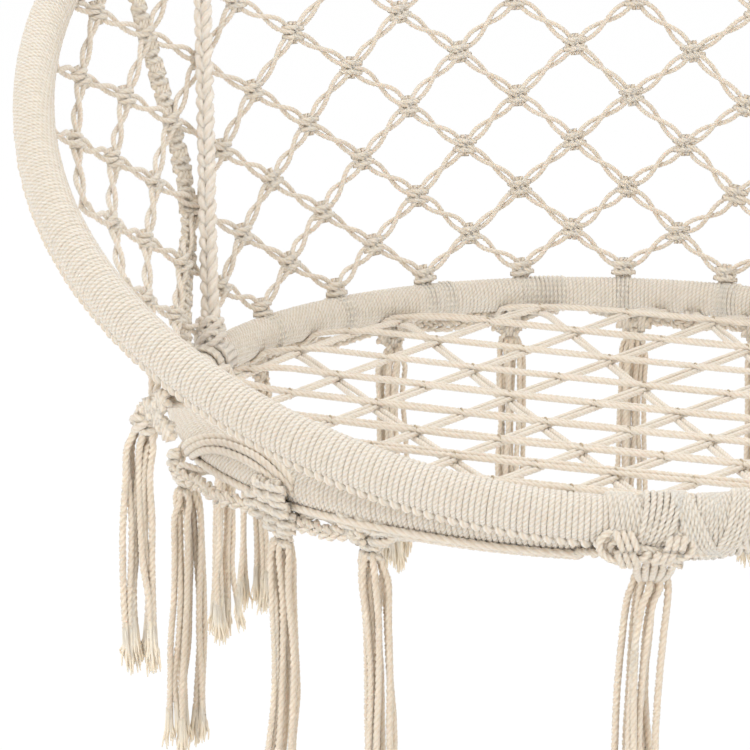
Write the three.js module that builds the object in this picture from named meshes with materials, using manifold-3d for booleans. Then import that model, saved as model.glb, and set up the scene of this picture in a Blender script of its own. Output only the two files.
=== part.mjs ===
// A hanging chair knotted from natural cotton cord on two steel hoops.
// Millimetres and degrees, +Z up, the sitter faces -Y. The origin is the point inside the top ring
// where a ceiling hook bears. The seat hoop is level and the back hoop leans over it, lashed to its front.
// Angles round a hoop start at its rearmost point and grow towards +X.

import * as THREE from "three";
import { mergeVertices } from "three/addons/utils/BufferGeometryUtils.js";
import Module from "manifold-3d";

const wasm = await Module();
wasm.setup();

// Driving dimensions: hoops
const seatHoopRadius = 300;
const backHoopRadius = 400;
const steelRadius = 9.5;
const steelWall = 1.5;
const weldGap = 1.2;
const wrapRadius = 14;
const wrapSeam = 2.4;
const backLeanAngle = 32;
const lashingRiseAngle = 29;

// Driving dimensions: hanging height and the ring
const seatDrop = 1150;
const balanceBack = 19.6;
const ringInnerRadius = 22;
const ringWireRadius = 4;

// Driving dimensions: cords
const clearance = 0.3;
const ropeRoom = 0.9;
const braidRadius = 6;
const sinnetRadius = 7.5;
const eyeCordRadius = 5.5;
const eyeGap = 0.5;
const hitchCordRadius = 3.5;
const stayOffset = 4;

// Driving dimensions: crown, where the four ropes are bound together under the ring
const crownLength = 64;
const crownTopRadius = 13;
const crownFootRadius = 17;
const crownDrop = 96;
const ropeSpread = 6.6;
const whippingCordRadius = 1.8;
const whippingPitch = 10;
const whippingTurns = 4;

// Driving dimensions: nets
const netThickness = 4.4;
const netBandWidth = 8;
const selvedgeWidth = 9;
const seatCellHalfWidth = 50.4;
const seatCellHalfDepth = 36.2;
const seatNetShiftX = -14.8;
const seatNetShiftY = -24;
const backFirstRow = 14;
const backRowPitch = 38.4;
const holeOverrun = 3;
const leastPanelVolume = netThickness * netBandWidth * seatHoopRadius;

// Driving dimensions: front lashing
const lashingCordRadius = 1.9;
const lashingSlack = 1.9;
const lashingPitch = 18;
const lashingTurns = 4;

// Driving dimensions: fringe
const knotDrop = 27;
const knotRadius = 9.5;
const headRadius = 11;
const tasselRadius = 9.5;
const strandGroove = 2.8;
const frontKnotDrop = 30;
const sideKnotDrop = 44;
const tasselLength = 214;
const sideTasselLength = 210;
const skirtCordRadius = 3;
const swagDip = 7;
const seatKnotShifts = [0, 0, 14, 0, 0, 0, 0];

// Angles in degrees, and counts
const seatNetAngle = 13.5;
const backColumnAngle = 8;
const backEdgeColumn = 12;
const backJointColumn = 4;
const seatRopeFootAngle = 74;
const seatRopeHeadAngle = 49.5;
const rearRopeAngle = 46;
const frontRopeAngle = 76;
const stayAngles = [81, 79, 72, 66, 64, 64, 64];
const stayFootHitchAngle = 78.4;
const stayHeadHitchAngle = 65;
const veeAngle = 5.5;
const seamBridgeAngle = 1;
const hoopSteps = 30;
const crownSides = 12;
const wrapSides = 8;
const steelSides = 6;
const ringSides = 8;
const ringSteps = 20;
const ropeSides = 6;
const turnSteps = 24;
const turnSides = 6;
const lashingRoomSteps = 4;
const hitchSides = 4;
const hitchSteps = 10;
const cordSides = 3;
const frontVeeAngle = 9.5;
const seatTasselAngles = [145, 130.5, 110, 70, 58, 30, 10];
const frontTassels = 3;
const sideTasselAngle = 129;
const strandsPerTassel = 7;
const frontTasselAngle = -178;

// Shares: how much shorter the back net's rows are at the sides, how the seat net is stretched, and
// how far the foot of a twenty-sided ball lies under its middle
const sideRowShare = 0.23;
const sideRowPowerShare = 1.4;
const ballFootShare = 0.8507;
const seatStretchShare = 0.17;
const seatFlareShare = 0.25;
const stayHeightShares = [0, 0.1, 0.2, 0.32, 0.45, 0.7, 1];

const degrees = Math.PI / 180;
const vector = (x, y, z) => new THREE.Vector3(x, y, z);

// Materials
function finish(color, roughness, metalness) {
  return new THREE.MeshStandardMaterial({ color, roughness, metalness });
}

const zincSteel = finish(0xb6b9bc, 0.38, 1);
const galvanisedRing = finish(0xc2c5c8, 0.3, 1);
const hoopCotton = finish(0xe9e2d2, 0.92, 0);
const netCotton = finish(0xdfd2bb, 0.94, 0);
const ropeCotton = finish(0xe7decb, 0.93, 0);
const fringeCotton = finish(0xe1d5bf, 0.94, 0);

// Solids: a closed geometry becomes a solid that can be joined and cut, and comes back as a geometry
function solidOf(geometry) {
  const plain = new THREE.BufferGeometry();
  plain.setAttribute("position", geometry.getAttribute("position"));
  if (geometry.index) plain.setIndex(geometry.index);
  const merged = mergeVertices(plain);
  const mesh = new wasm.Mesh({
    numProp: 3,
    vertProperties: merged.getAttribute("position").array,
    triVerts: new Uint32Array(merged.index.array),
  });
  return new wasm.Manifold(mesh);
}

function geometryOf(solid) {
  const mesh = solid.getMesh();
  const positions = new Float32Array(mesh.numVert * 3);
  for (let i = 0; i < mesh.numVert; i++) {
    positions.set(mesh.vertProperties.subarray(i * mesh.numProp, i * mesh.numProp + 3), i * 3);
  }
  const geometry = new THREE.BufferGeometry();
  geometry.setAttribute("position", new THREE.BufferAttribute(positions, 3));
  geometry.setIndex(new THREE.BufferAttribute(mesh.triVerts, 1));
  return geometry;
}

const joined = (solids) => solids.reduce((whole, solid) => whole.add(solid));
const cutBy = (solid, cutters) => cutters.reduce((rest, cutter) => rest.subtract(cutter), solid);
const largest = (solid) =>
  solidOf(geometryOf(solid)).decompose().reduce((a, b) => (a.volume() > b.volume() ? a : b));

// Sections and sweeps
function polygon(radius, sides) {
  const points = [];
  for (let i = 0; i < sides; i++) {
    const angle = (i / sides) * 2 * Math.PI;
    points.push(new THREE.Vector2(radius * Math.cos(angle), radius * Math.sin(angle)));
  }
  return points;
}

function tube(curve, radius, sides, steps, boreRadius = 0) {
  const section = new THREE.Shape(polygon(radius, sides));
  if (boreRadius > 0) section.holes.push(new THREE.Path(polygon(boreRadius, sides)));
  return new THREE.ExtrudeGeometry(section, { extrudePath: curve, steps });
}

const cordThrough = (points, radius, sides, steps) =>
  solidOf(tube(new THREE.CatmullRomCurve3(points), radius, sides, steps));

const straightCord = (from, to, radius, sides) =>
  solidOf(tube(new THREE.LineCurve3(from, to), radius, sides, 1));

// Where the hoops run. The back hoop's front point sits ahead of and above the seat hoop's.
const hoopSpacing = 2 * wrapRadius + clearance * 2;
const backFrontY = -seatHoopRadius - hoopSpacing * Math.cos(lashingRiseAngle * degrees);
const backFrontZ = hoopSpacing * Math.sin(lashingRiseAngle * degrees);

function seatPoint(angle, radius = seatHoopRadius) {
  return vector(radius * Math.sin(angle * degrees), radius * Math.cos(angle * degrees), 0);
}

function backPoint(angle) {
  const run = backHoopRadius * (1 + Math.cos(angle * degrees));
  return vector(
    backHoopRadius * Math.sin(angle * degrees),
    backFrontY + run * Math.cos(backLeanAngle * degrees),
    backFrontZ + run * Math.sin(backLeanAngle * degrees),
  );
}

class HoopCurve extends THREE.Curve {
  constructor(pointAt, radius, opening) {
    super();
    this.pointAt = pointAt;
    this.gap = opening / radius / degrees;
  }
  getPoint(t) {
    return this.pointAt(180 + this.gap / 2 + t * (360 - this.gap));
  }
}

const seatPath = (opening) => new HoopCurve(seatPoint, seatHoopRadius, opening);
const backPath = (opening) => new HoopCurve(backPoint, backHoopRadius, opening);

const steelHoop = (path) => tube(path(weldGap), steelRadius, steelSides, hoopSteps, steelRadius - steelWall);

function hoopWrap(path) {
  const section = new THREE.Shape(polygon(wrapRadius, wrapSides));
  const boreRadius = steelRadius + clearance / Math.cos(Math.PI / steelSides);
  section.holes.push(new THREE.Path(polygon(boreRadius, steelSides)));
  return new THREE.ExtrudeGeometry(section, { extrudePath: path(wrapSeam), steps: hoopSteps });
}

// The room a hoop needs round its wrap, its seam bridged: everything tied to the hoop is cut to this.
function hoopRoom(path, pointAt) {
  const roomRadius = wrapRadius + clearance;
  const before = pointAt(180 - seamBridgeAngle);
  const after = pointAt(180 + seamBridgeAngle);
  const bridge = straightCord(before, after, roomRadius, wrapSides);
  return solidOf(tube(path(wrapSeam), roomRadius, wrapSides, hoopSteps)).add(bridge);
}

const seatRoom = hoopRoom(seatPath, seatPoint);
const backRoom = hoopRoom(backPath, backPoint);

// A hitch: cord wound round the wrapped hoop, square to it
function hitch(pointAt, angle, grow) {
  const reach = wrapRadius + 2 * clearance + hitchCordRadius;
  const ring = new THREE.TorusGeometry(reach, hitchCordRadius + grow, hitchSides, hitchSteps);
  const along = pointAt(angle + 1).sub(pointAt(angle - 1)).normalize();
  const turn = new THREE.Quaternion().setFromUnitVectors(vector(0, 0, 1), along);
  const place = new THREE.Matrix4().compose(pointAt(angle), turn, vector(1, 1, 1));
  return solidOf(ring.applyMatrix4(place));
}

// Hanging point and crown, seen from the seat hoop's centre
const hangPoint = vector(0, balanceBack, seatDrop);
const ringRadius = ringInnerRadius + ringWireRadius;
const ringFoot = hangPoint.clone().add(vector(0, 0, -ringInnerRadius - ringRadius));
const crownTop = hangPoint.z - crownDrop;
const crownFoot = crownTop - crownLength;

function crownProfile(grow) {
  const shoulder = crownTopRadius / 3;
  return [
    new THREE.Vector2(0, -grow),
    new THREE.Vector2(crownFootRadius + grow, -grow),
    new THREE.Vector2(crownTopRadius + grow, crownLength - shoulder),
    new THREE.Vector2(crownTopRadius - shoulder + grow, crownLength + grow),
    new THREE.Vector2(0, crownLength + grow),
  ];
}

function crownSolid(grow) {
  const lathe = new THREE.LatheGeometry(crownProfile(grow), crownSides);
  lathe.rotateX(Math.PI / 2).translate(hangPoint.x, hangPoint.y, crownFoot);
  return solidOf(lathe);
}

const crownRoom = crownSolid(clearance);

// A wound cord, and the least distance between neighbouring turns measured on its points
function leastGap(points, pointsPerTurn, radius) {
  let least = Infinity;
  for (let i = 0; i < points.length; i++) {
    for (let j = i + Math.round(pointsPerTurn / 2); j < points.length; j++) {
      least = Math.min(least, points[i].distanceTo(points[j]) - 2 * radius);
    }
  }
  return least;
}

function winding(name, pointOfTurn, turns, radius) {
  const points = [];
  for (let i = 0; i <= turns * turnSteps; i++) points.push(pointOfTurn(i / turnSteps));
  console.log(`${name}: least gap to itself ${leastGap(points, turnSteps, radius).toFixed(1)} mm`);
  return cordThrough(points, radius, turnSides, turns * turnSteps);
}

function crownWhipping() {
  const wound = whippingPitch * whippingTurns;
  const start = (crownLength - wound) / 2;
  const taper = (crownFootRadius - crownTopRadius) / crownLength;
  return winding(
    "crown_whipping",
    (turn) => {
      const rise = start + turn * whippingPitch;
      const reach = crownFootRadius - taper * rise + clearance + whippingCordRadius;
      const angle = turn * 2 * Math.PI;
      return vector(reach * Math.cos(angle), hangPoint.y + reach * Math.sin(angle), crownFoot + rise);
    },
    whippingTurns,
    whippingCordRadius,
  );
}

// The front lashing runs round both hoops, side by side at their front
const lashingReach = wrapRadius + lashingSlack + lashingCordRadius;

function frontLashing(grow = 0) {
  const reach = lashingReach;
  const half = (lashingPitch * lashingTurns) / 2;
  const arc = Math.PI * reach;
  const pointOfTurn = (turn) => {
    const x = turn * lashingPitch - half;
    const seat = seatPoint(180 - Math.asin(x / seatHoopRadius) / degrees);
    const back = backPoint(180 - Math.asin(x / backHoopRadius) / degrees);
    const across = back.clone().sub(seat);
    const span = across.length();
    across.normalize();
    const side = vector(0, -across.z, across.y);
    const lap = 2 * arc + 2 * span;
    const run = (turn - Math.floor(turn)) * lap;
    const round = (centre, from, angle) =>
      centre
        .clone()
        .addScaledVector(side, from * reach * Math.cos(angle))
        .addScaledVector(across, -from * reach * Math.sin(angle));
    if (run < arc) return round(seat, 1, run / reach);
    if (run < arc + span) return round(seat, -1, 0).addScaledVector(across, run - arc);
    if (run < 2 * arc + span) return round(back, -1, (run - arc - span) / reach);
    return round(back, 1, 0).addScaledVector(across, 2 * arc + span - run);
  };
  return winding("front_lashing", pointOfTurn, lashingTurns, lashingCordRadius + grow);
}

// The room for the lashing where it passes through the seat net
function lashingRoom() {
  const half = (lashingPitch * lashingTurns) / 2 + 2 * lashingCordRadius;
  const halfAngle = Math.asin(half / seatHoopRadius) / degrees;
  const points = [];
  for (let i = 0; i <= lashingRoomSteps; i++) {
    points.push(seatPoint(180 + ((2 * i) / lashingRoomSteps - 1) * halfAngle));
  }
  const reach = (lashingReach + lashingCordRadius) / Math.cos(Math.PI / wrapSides);
  return cordThrough(points, reach + clearance, wrapSides, lashingRoomSteps);
}

// Ropes. Each ends in a hitch round its hoop and is cut clear of the hoop and of the crown.
function suspensionRope(side, headAngle, depthSide, grow = 0) {
  const head = vector(side * ropeSpread, hangPoint.y + depthSide * ropeSpread, crownFoot);
  const foot = backPoint(side * headAngle);
  const rope = straightCord(head, foot, braidRadius + grow, ropeSides);
  const tied = rope.add(hitch(backPoint, side * headAngle, grow));
  return largest(cutBy(tied, [backRoom, crownRoom]));
}

function seatRope(side, grow = 0) {
  const head = backPoint(side * seatRopeHeadAngle);
  const foot = seatPoint(side * seatRopeFootAngle);
  const braid = straightCord(head, foot, braidRadius + grow, ropeSides);
  const headHitch = hitch(backPoint, side * seatRopeHeadAngle, grow);
  const footHitch = hitch(seatPoint, side * seatRopeFootAngle, grow);
  return largest(cutBy(joined([braid, headHitch, footHitch]), [backRoom, seatRoom]));
}

// The back net's surface is ruled from the seat hoop to the back hoop at equal angles.
const rulingLength = (angle) => backPoint(angle).distanceTo(seatPoint(angle));

function netPoint(angle, height, lift = 0) {
  const low = seatPoint(angle);
  const high = backPoint(angle);
  const up = high.clone().sub(low).normalize();
  const along = backPoint(angle + 1).sub(backPoint(angle - 1)).normalize();
  const out = along.cross(up).normalize();
  return low.addScaledVector(up, height).addScaledVector(out, lift);
}

// The side stay is a sinnet of square knots that lies in the net, in place of one of its columns.
function stayPoints(side) {
  return stayAngles.map((angle, i) => {
    const share = stayHeightShares[i];
    const lift = -stayOffset * Math.min(1, (1 - share) / share);
    return netPoint(side * angle, share * rulingLength(angle), lift);
  });
}

function sideStay(side, grow = 0) {
  const sinnet = cordThrough(stayPoints(side), sinnetRadius + grow, ropeSides, stayAngles.length);
  const headHitch = hitch(backPoint, side * stayHeadHitchAngle, grow);
  const footHitch = hitch(seatPoint, side * stayFootHitchAngle, grow);
  return largest(cutBy(joined([sinnet, headHitch, footHitch]), [backRoom, seatRoom]));
}

// Nets: a plate with one hole for each cell, so that what stays is the net's doubled cords
function inset(corners, distance) {
  const count = corners.length;
  const edges = corners.map((corner, i) => {
    const next = corners[(i + 1) % count];
    const along = next.clone().sub(corner).normalize();
    const inward = new THREE.Vector2(-along.y, along.x);
    return { from: corner.clone().addScaledVector(inward, distance), along };
  });
  return edges.map((edge, i) => {
    const before = edges[(i + count - 1) % count];
    const cross = before.along.cross(edge.along);
    const gap = edge.from.clone().sub(before.from);
    return before.from.clone().addScaledVector(before.along, gap.cross(edge.along) / cross);
  });
}

function holePrism(corners) {
  const area = THREE.ShapeUtils.area(corners);
  const wound = area < 0 ? [...corners].reverse() : corners;
  const depth = netThickness + 2 * holeOverrun;
  const prism = new THREE.ExtrudeGeometry(new THREE.Shape(inset(wound, netBandWidth / 2)), {
    depth,
    bevelEnabled: false,
  });
  return solidOf(prism.translate(0, 0, -depth / 2));
}

function bent(solid, place) {
  const geometry = geometryOf(solid);
  const position = geometry.getAttribute("position");
  for (let i = 0; i < position.count; i++) {
    const moved = place(position.getX(i), position.getY(i), position.getZ(i));
    position.setXYZ(i, moved.x, moved.y, moved.z);
  }
  return solidOf(geometry);
}

function seatKnot(across, back) {
  const turn = seatNetAngle * degrees;
  const plain = new THREE.Vector2(
    (across - back) * seatCellHalfWidth,
    (-across - back) * seatCellHalfDepth,
  ).rotateAround(new THREE.Vector2(), turn);
  plain.add(new THREE.Vector2(seatNetShiftX, seatNetShiftY));
  const share = plain.y / seatHoopRadius;
  plain.x *= 1 + seatFlareShare * share;
  plain.y += seatStretchShare * share * plain.y;
  return plain;
}

function seatNet() {
  const disc = new THREE.CylinderGeometry(seatHoopRadius, seatHoopRadius, netThickness, hoopSteps);
  const cells = Math.ceil(seatHoopRadius / seatCellHalfDepth);
  const holes = [];
  for (let i = -cells; i <= cells; i++) {
    for (let j = -cells; j <= cells; j++) {
      const corners = [seatKnot(i, j), seatKnot(i + 1, j), seatKnot(i + 1, j + 1), seatKnot(i, j + 1)];
      const nearest = Math.min(...corners.map((corner) => corner.length()));
      if (nearest < seatHoopRadius) holes.push(holePrism(corners));
    }
  }
  return cutBy(solidOf(disc.rotateX(Math.PI / 2)), [...holes, seatRoom]);
}

// A back net knot: its column counts half cells round the hoop and its row counts them upwards.
function backKnot(column, row) {
  const angle = column * backColumnAngle;
  const side = Math.abs(angle) / 90;
  const shrink = 1 - sideRowShare * Math.pow(side, sideRowPowerShare);
  return new THREE.Vector2(angle, (backFirstRow + row * backRowPitch) * shrink);
}

// The net is cut out flat, with the angle round the hoop laid out as a length on the seat hoop.
const unrolled = (angle, height) => new THREE.Vector2(angle * degrees * seatHoopRadius, height);
const flatKnot = (column, row) => {
  const knot = backKnot(column, row);
  return unrolled(knot.x, knot.y);
};

function backPlate() {
  const foot = [];
  const head = [];
  for (let column = -backEdgeColumn; column <= backEdgeColumn; column++) {
    const angle = column * backColumnAngle;
    foot.push(unrolled(angle, 0));
    head.unshift(unrolled(angle, rulingLength(angle)));
  }
  const outline = new THREE.Shape([...foot, ...head]);
  const plate = new THREE.ExtrudeGeometry(outline, { depth: netThickness, bevelEnabled: false });
  return solidOf(plate.translate(0, 0, -netThickness / 2));
}

function backHoles() {
  const backRows = Math.ceil(rulingLength(0) / backRowPitch) + 1;
  const edge = unrolled(backEdgeColumn * backColumnAngle, rulingLength(0));
  const inner = new THREE.BoxGeometry(2 * (edge.x - selvedgeWidth), 2 * edge.y, 2 * edge.y);
  const insideSelvedges = solidOf(inner);
  const holes = [];
  for (let column = -backEdgeColumn; column <= backEdgeColumn; column++) {
    for (let row = -1; row <= backRows; row++) {
      if ((column + row) % 2 !== 0) continue;
      const corners = [
        flatKnot(column - 1, row),
        flatKnot(column, row - 1),
        flatKnot(column + 1, row),
        flatKnot(column, row + 1),
      ];
      const hole = holePrism(corners);
      const isAtEdge = Math.abs(column) >= backEdgeColumn - 1;
      holes.push(isAtEdge ? hole.intersect(insideSelvedges) : hole);
    }
  }
  return holes;
}

// A thin cut through the flat net, along a line of points
function jointAlong(points) {
  const blades = points.slice(1).map((point, i) => {
    const along = point.clone().sub(points[i]);
    const middle = points[i].clone().addScaledVector(along, 1 / 2);
    const blade = new THREE.BoxGeometry(along.length() + clearance, clearance, 2 * netThickness);
    return solidOf(blade.rotateZ(along.angle()).translate(middle.x, middle.y, 0));
  });
  return joined(blades);
}

// The stays and three joints divide the net into panels, given from left to right.
function backPanels(ropesThere) {
  const columns = [-backJointColumn, 0, backJointColumn];
  const upright = columns.map((column) => {
    const angle = column * backColumnAngle;
    return jointAlong([unrolled(angle, 0), unrolled(angle, rulingLength(angle))]);
  });
  const underStays = [-1, 1].map((side) =>
    jointAlong(
      stayAngles.map((angle, i) => {
        return unrolled(side * angle, stayHeightShares[i] * rulingLength(angle));
      }),
    ),
  );
  const joints = [...upright, ...underStays];
  const flat = cutBy(backPlate(), [...backHoles(), ...joints]);
  const perLength = 1 / (degrees * seatHoopRadius);
  const curved = bent(flat, (x, y, z) => netPoint(x * perLength, y, z));
  const cut = solidOf(geometryOf(cutBy(curved, [seatRoom, backRoom, ...ropesThere])));
  const middleX = (solid) => solid.boundingBox().min[0] + solid.boundingBox().max[0];
  const panels = cut.decompose().filter((solid) => solid.volume() > leastPanelVolume);
  return panels.sort((a, b) => middleX(a) - middleX(b)).map(largest);
}

// Fringe: a knot hangs from two cords under the hoop, and a tassel hangs from the knot
function hang(pointAt, angle, drop = knotDrop, spread = veeAngle, shift = 0) {
  return { pointAt, angle, drop, spread, shift };
}

const below = (point, depth) => point.clone().add(vector(0, 0, -depth));
const outward = (pointAt, angle) => pointAt(angle).sub(pointAt(angle + 180)).setZ(0).normalize();
const knotOf = ({ pointAt, angle, drop, shift }) =>
  below(pointAt(angle), drop).addScaledVector(outward(pointAt, angle), shift);
const pivotOf = (place) => below(knotOf(place), ballFootShare * knotRadius + clearance);

function ball(centre, radius) {
  return solidOf(new THREE.IcosahedronGeometry(radius, 0).translate(centre.x, centre.y, centre.z));
}

function veeKnot(place) {
  const knot = knotOf(place);
  const cords = [-place.spread, place.spread].map((spread) =>
    straightCord(place.pointAt(place.angle + spread), knot, skirtCordRadius, cordSides),
  );
  return joined([ball(knot, knotRadius), ...cords]);
}

function skirt(places, rooms = []) {
  const pieces = places.map(veeKnot);
  for (let i = 0; i + 1 < places.length; i++) {
    const from = knotOf(places[i]);
    const to = knotOf(places[i + 1]);
    const angle = (places[i].angle + places[i + 1].angle) / 2;
    const shift = (places[i].shift + places[i + 1].shift) / 2;
    const middle = below(knotOf({ ...places[i], angle, shift }), swagDip);
    pieces.push(cordThrough([from, middle, to], skirtCordRadius, cordSides, 4));
  }
  return largest(cutBy(joined(pieces), [...rooms, seatRoom, backRoom]));
}

function tassel(place, length) {
  const pivot = pivotOf(place);
  const foot = place.pointAt(place.angle).z - length;
  const outline = [];
  for (let i = 0; i < 2 * strandsPerTassel; i++) {
    const turn = (i / strandsPerTassel) * Math.PI;
    const reach = i % 2 === 0 ? tasselRadius : tasselRadius - strandGroove;
    outline.push(new THREE.Vector2(reach * Math.cos(turn), reach * Math.sin(turn)));
  }
  const depth = pivot.z - headRadius - foot;
  const bundle = new THREE.ExtrudeGeometry(new THREE.Shape(outline), { depth, bevelEnabled: false });
  const head = new THREE.OctahedronGeometry(headRadius).translate(pivot.x, pivot.y, pivot.z - headRadius);
  return solidOf(head).add(solidOf(bundle.translate(pivot.x, pivot.y, foot)));
}

// The scene graph
const part = new THREE.Group();
const chair = new THREE.Group();
chair.position.copy(hangPoint).negate();
part.add(chair);

function addTo(group, name, shape, material) {
  const geometry = shape.isBufferGeometry ? shape : geometryOf(shape);
  const mesh = new THREE.Mesh(geometry, material);
  mesh.name = name;
  group.add(mesh);
  return mesh;
}

// The ring stands in the XZ plane, and the ropes' eye passes round its foot.
const ringShape = new THREE.TorusGeometry(ringRadius, ringWireRadius, ringSides, ringSteps);
const hangingRing = addTo(part, "hanging_ring", ringShape, galvanisedRing);
hangingRing.rotation.x = Math.PI / 2;
hangingRing.position.z = -ringInnerRadius;

function ropeEye() {
  const reach = ringWireRadius + eyeGap + eyeCordRadius;
  const foot = crownTop + eyeCordRadius + clearance;
  const length = ringFoot.z - foot;
  const points = [];
  for (let i = 0; i <= ropeSides; i++) {
    const angle = (i / ropeSides) * Math.PI;
    points.push(vector(0, hangPoint.y + reach * Math.cos(angle), ringFoot.z + reach * Math.sin(angle)));
  }
  const narrow = reach - eyeGap;
  points.push(vector(0, hangPoint.y - narrow, ringFoot.z - length / 2));
  points.push(vector(0, hangPoint.y - eyeCordRadius, foot));
  points.push(vector(0, hangPoint.y + eyeCordRadius, foot));
  points.push(vector(0, hangPoint.y + narrow, ringFoot.z - length / 2));
  const loop = new THREE.CatmullRomCurve3(points, true);
  const cord = new THREE.TubeGeometry(loop, 3 * ropeSides, eyeCordRadius, ropeSides, true);
  return cutBy(solidOf(cord), [crownRoom]);
}

addTo(chair, "rope_eye", ropeEye(), ropeCotton);
addTo(chair, "rope_crown", crownSolid(0), ropeCotton);
addTo(chair, "crown_whipping", crownWhipping(), ropeCotton);

addTo(chair, "back_hoop", steelHoop(backPath), zincSteel);
addTo(chair, "back_hoop_wrap", hoopWrap(backPath), hoopCotton);
addTo(chair, "seat_hoop", steelHoop(seatPath), zincSteel);
addTo(chair, "seat_hoop_wrap", hoopWrap(seatPath), hoopCotton);
addTo(chair, "front_lashing", frontLashing(), hoopCotton);

const sides = [
  { name: "left", side: -1 },
  { name: "right", side: 1 },
];
for (const { name, side } of sides) {
  addTo(chair, `front_rope_${name}`, suspensionRope(side, frontRopeAngle, -1), ropeCotton);
  addTo(chair, `rear_rope_${name}`, suspensionRope(side, rearRopeAngle, 1), ropeCotton);
  addTo(chair, `seat_rope_${name}`, seatRope(side), ropeCotton);
  addTo(chair, `side_stay_${name}`, sideStay(side), netCotton);
}

// Whatever passes through the net is given room in it.
const throughNet = sides.flatMap(({ side }) => [
  suspensionRope(side, frontRopeAngle, -1, ropeRoom),
  suspensionRope(side, rearRopeAngle, 1, ropeRoom),
  seatRope(side, ropeRoom),
  sideStay(side, ropeRoom),
]);

addTo(chair, "seat_net", largest(cutBy(seatNet(), [...throughNet, lashingRoom()])), netCotton);
backPanels(throughNet).forEach((panel, i) => addTo(chair, `back_net_${i + 1}`, panel, netCotton));

const frontHang = hang(seatPoint, frontTasselAngle, frontKnotDrop, frontVeeAngle);
addTo(chair, "skirt_front", skirt([frontHang], [frontLashing(clearance)]), fringeCotton);
addTo(chair, "tassel_front", tassel(frontHang, tasselLength), fringeCotton);
for (const { name, side } of sides) {
  const sideHang = hang(backPoint, side * sideTasselAngle, sideKnotDrop);
  const seatHangs = seatTasselAngles.map((angle, i) =>
    hang(seatPoint, side * angle, knotDrop, veeAngle, seatKnotShifts[i]),
  );
  addTo(chair, `skirt_${name}_front`, skirt(seatHangs.slice(0, frontTassels), throughNet), fringeCotton);
  addTo(chair, `skirt_${name}_rear`, skirt(seatHangs.slice(frontTassels), throughNet), fringeCotton);
  addTo(chair, `skirt_${name}_side`, skirt([sideHang]), fringeCotton);
  addTo(chair, `tassel_${name}_side`, tassel(sideHang, sideTasselLength), fringeCotton);
  seatHangs.forEach((place, i) => {
    addTo(chair, `tassel_${name}_${i + 1}`, tassel(place, tasselLength), fringeCotton);
  });
}

export default part;
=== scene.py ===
import logging
import math
from dataclasses import dataclass, field, replace
from enum import Enum

import bmesh
import bpy
import numpy as np
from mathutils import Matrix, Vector


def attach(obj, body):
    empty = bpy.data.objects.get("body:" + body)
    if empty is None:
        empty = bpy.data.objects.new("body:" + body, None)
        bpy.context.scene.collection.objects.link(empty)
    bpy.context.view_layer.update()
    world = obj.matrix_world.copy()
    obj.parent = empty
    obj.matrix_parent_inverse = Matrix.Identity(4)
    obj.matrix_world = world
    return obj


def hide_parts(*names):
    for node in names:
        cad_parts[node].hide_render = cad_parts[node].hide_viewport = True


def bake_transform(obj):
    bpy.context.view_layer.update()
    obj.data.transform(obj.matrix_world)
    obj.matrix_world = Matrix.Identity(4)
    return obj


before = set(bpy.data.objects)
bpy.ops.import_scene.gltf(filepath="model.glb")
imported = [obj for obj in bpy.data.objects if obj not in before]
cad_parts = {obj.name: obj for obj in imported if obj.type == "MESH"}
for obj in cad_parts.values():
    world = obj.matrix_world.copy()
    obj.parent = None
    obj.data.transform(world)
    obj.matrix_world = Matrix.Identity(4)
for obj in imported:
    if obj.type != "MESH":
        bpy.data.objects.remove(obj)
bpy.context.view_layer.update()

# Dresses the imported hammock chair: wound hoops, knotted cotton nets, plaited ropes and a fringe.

LOG = logging.getLogger("hammock_chair")

Points = np.ndarray
Angles = float | np.ndarray
TAU = 2 * math.pi

# Where the seat hoop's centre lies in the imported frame, in metres.
SEAT_CENTRE = np.array([0.0, -0.0196, -1.150])
UP = np.array([0, 0, 1.0])
DOWN = np.array([0, 0, -1.0])
SIDES = ((-1, "left"), (1, "right"))
Tone = tuple[float, float, float]

# How high a cord's end runs on a winding, and how far it sinks into it, in metres.
TAIL_LIFT, TAIL_SINK = 0.0019, 0.0035

# Blotches in a metre of the cotton's tone, its yarn, its seed flecks and its fibres.
BROAD, YARN, FLECK, FIBRE = 11.0, 240.0, 620.0, 1500.0

# The cord that is wound over the hoops and the crown: from turn to turn, and once round its plies.
WINDING_PITCH = 0.0034
WINDING_LAY = 0.0088


class Body(str, Enum):
    """The moving bodies that pieces ride on."""

    RING = "ring"
    EYE = "eye"
    CHAIR = "chair"
    SEAT = "seat"


class Slot(str, Enum):
    """The record's material slots."""

    RING = "galvanised_ring"
    STEEL = "zinc_steel"
    HOOP = "hoop_cotton"
    NET = "net_cotton"
    ROPE = "rope_cotton"
    FRINGE = "fringe_cotton"


# Paths


def unit(vector: Points) -> Points:
    """Return the vector at length one."""
    return vector / np.linalg.norm(vector)


def smooth(points: Points, per_span: int = 8) -> Points:
    """Run a smooth curve through the points.

    Args:
        points: The points the curve passes through, one per row.
        per_span: How many samples are taken between two points.

    Returns:
        The samples, one per row, both ends included.
    """
    given = np.asarray(points, float)
    padded = np.vstack([2 * given[0] - given[1], given, 2 * given[-1] - given[-2]])
    t = np.linspace(0, 1, per_span, endpoint=False)[:, None]
    before, start, end, after = padded[:-3], padded[1:-2], padded[2:-1], padded[3:]
    spans = [
        0.5 * (2 * b + (c - a) * t + (2 * a - 5 * b + 4 * c - d) * t**2 + (3 * b - a - 3 * c + d) * t**3)
        for a, b, c, d in zip(before, start, end, after)
    ]
    return np.vstack([*spans, given[-1:]])


def runs_along(path: Points) -> Points:
    """Return the distance along a path from its start to each of its points."""
    return np.concatenate([[0.0], np.cumsum(np.linalg.norm(np.diff(path, axis=0), axis=1))])


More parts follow.
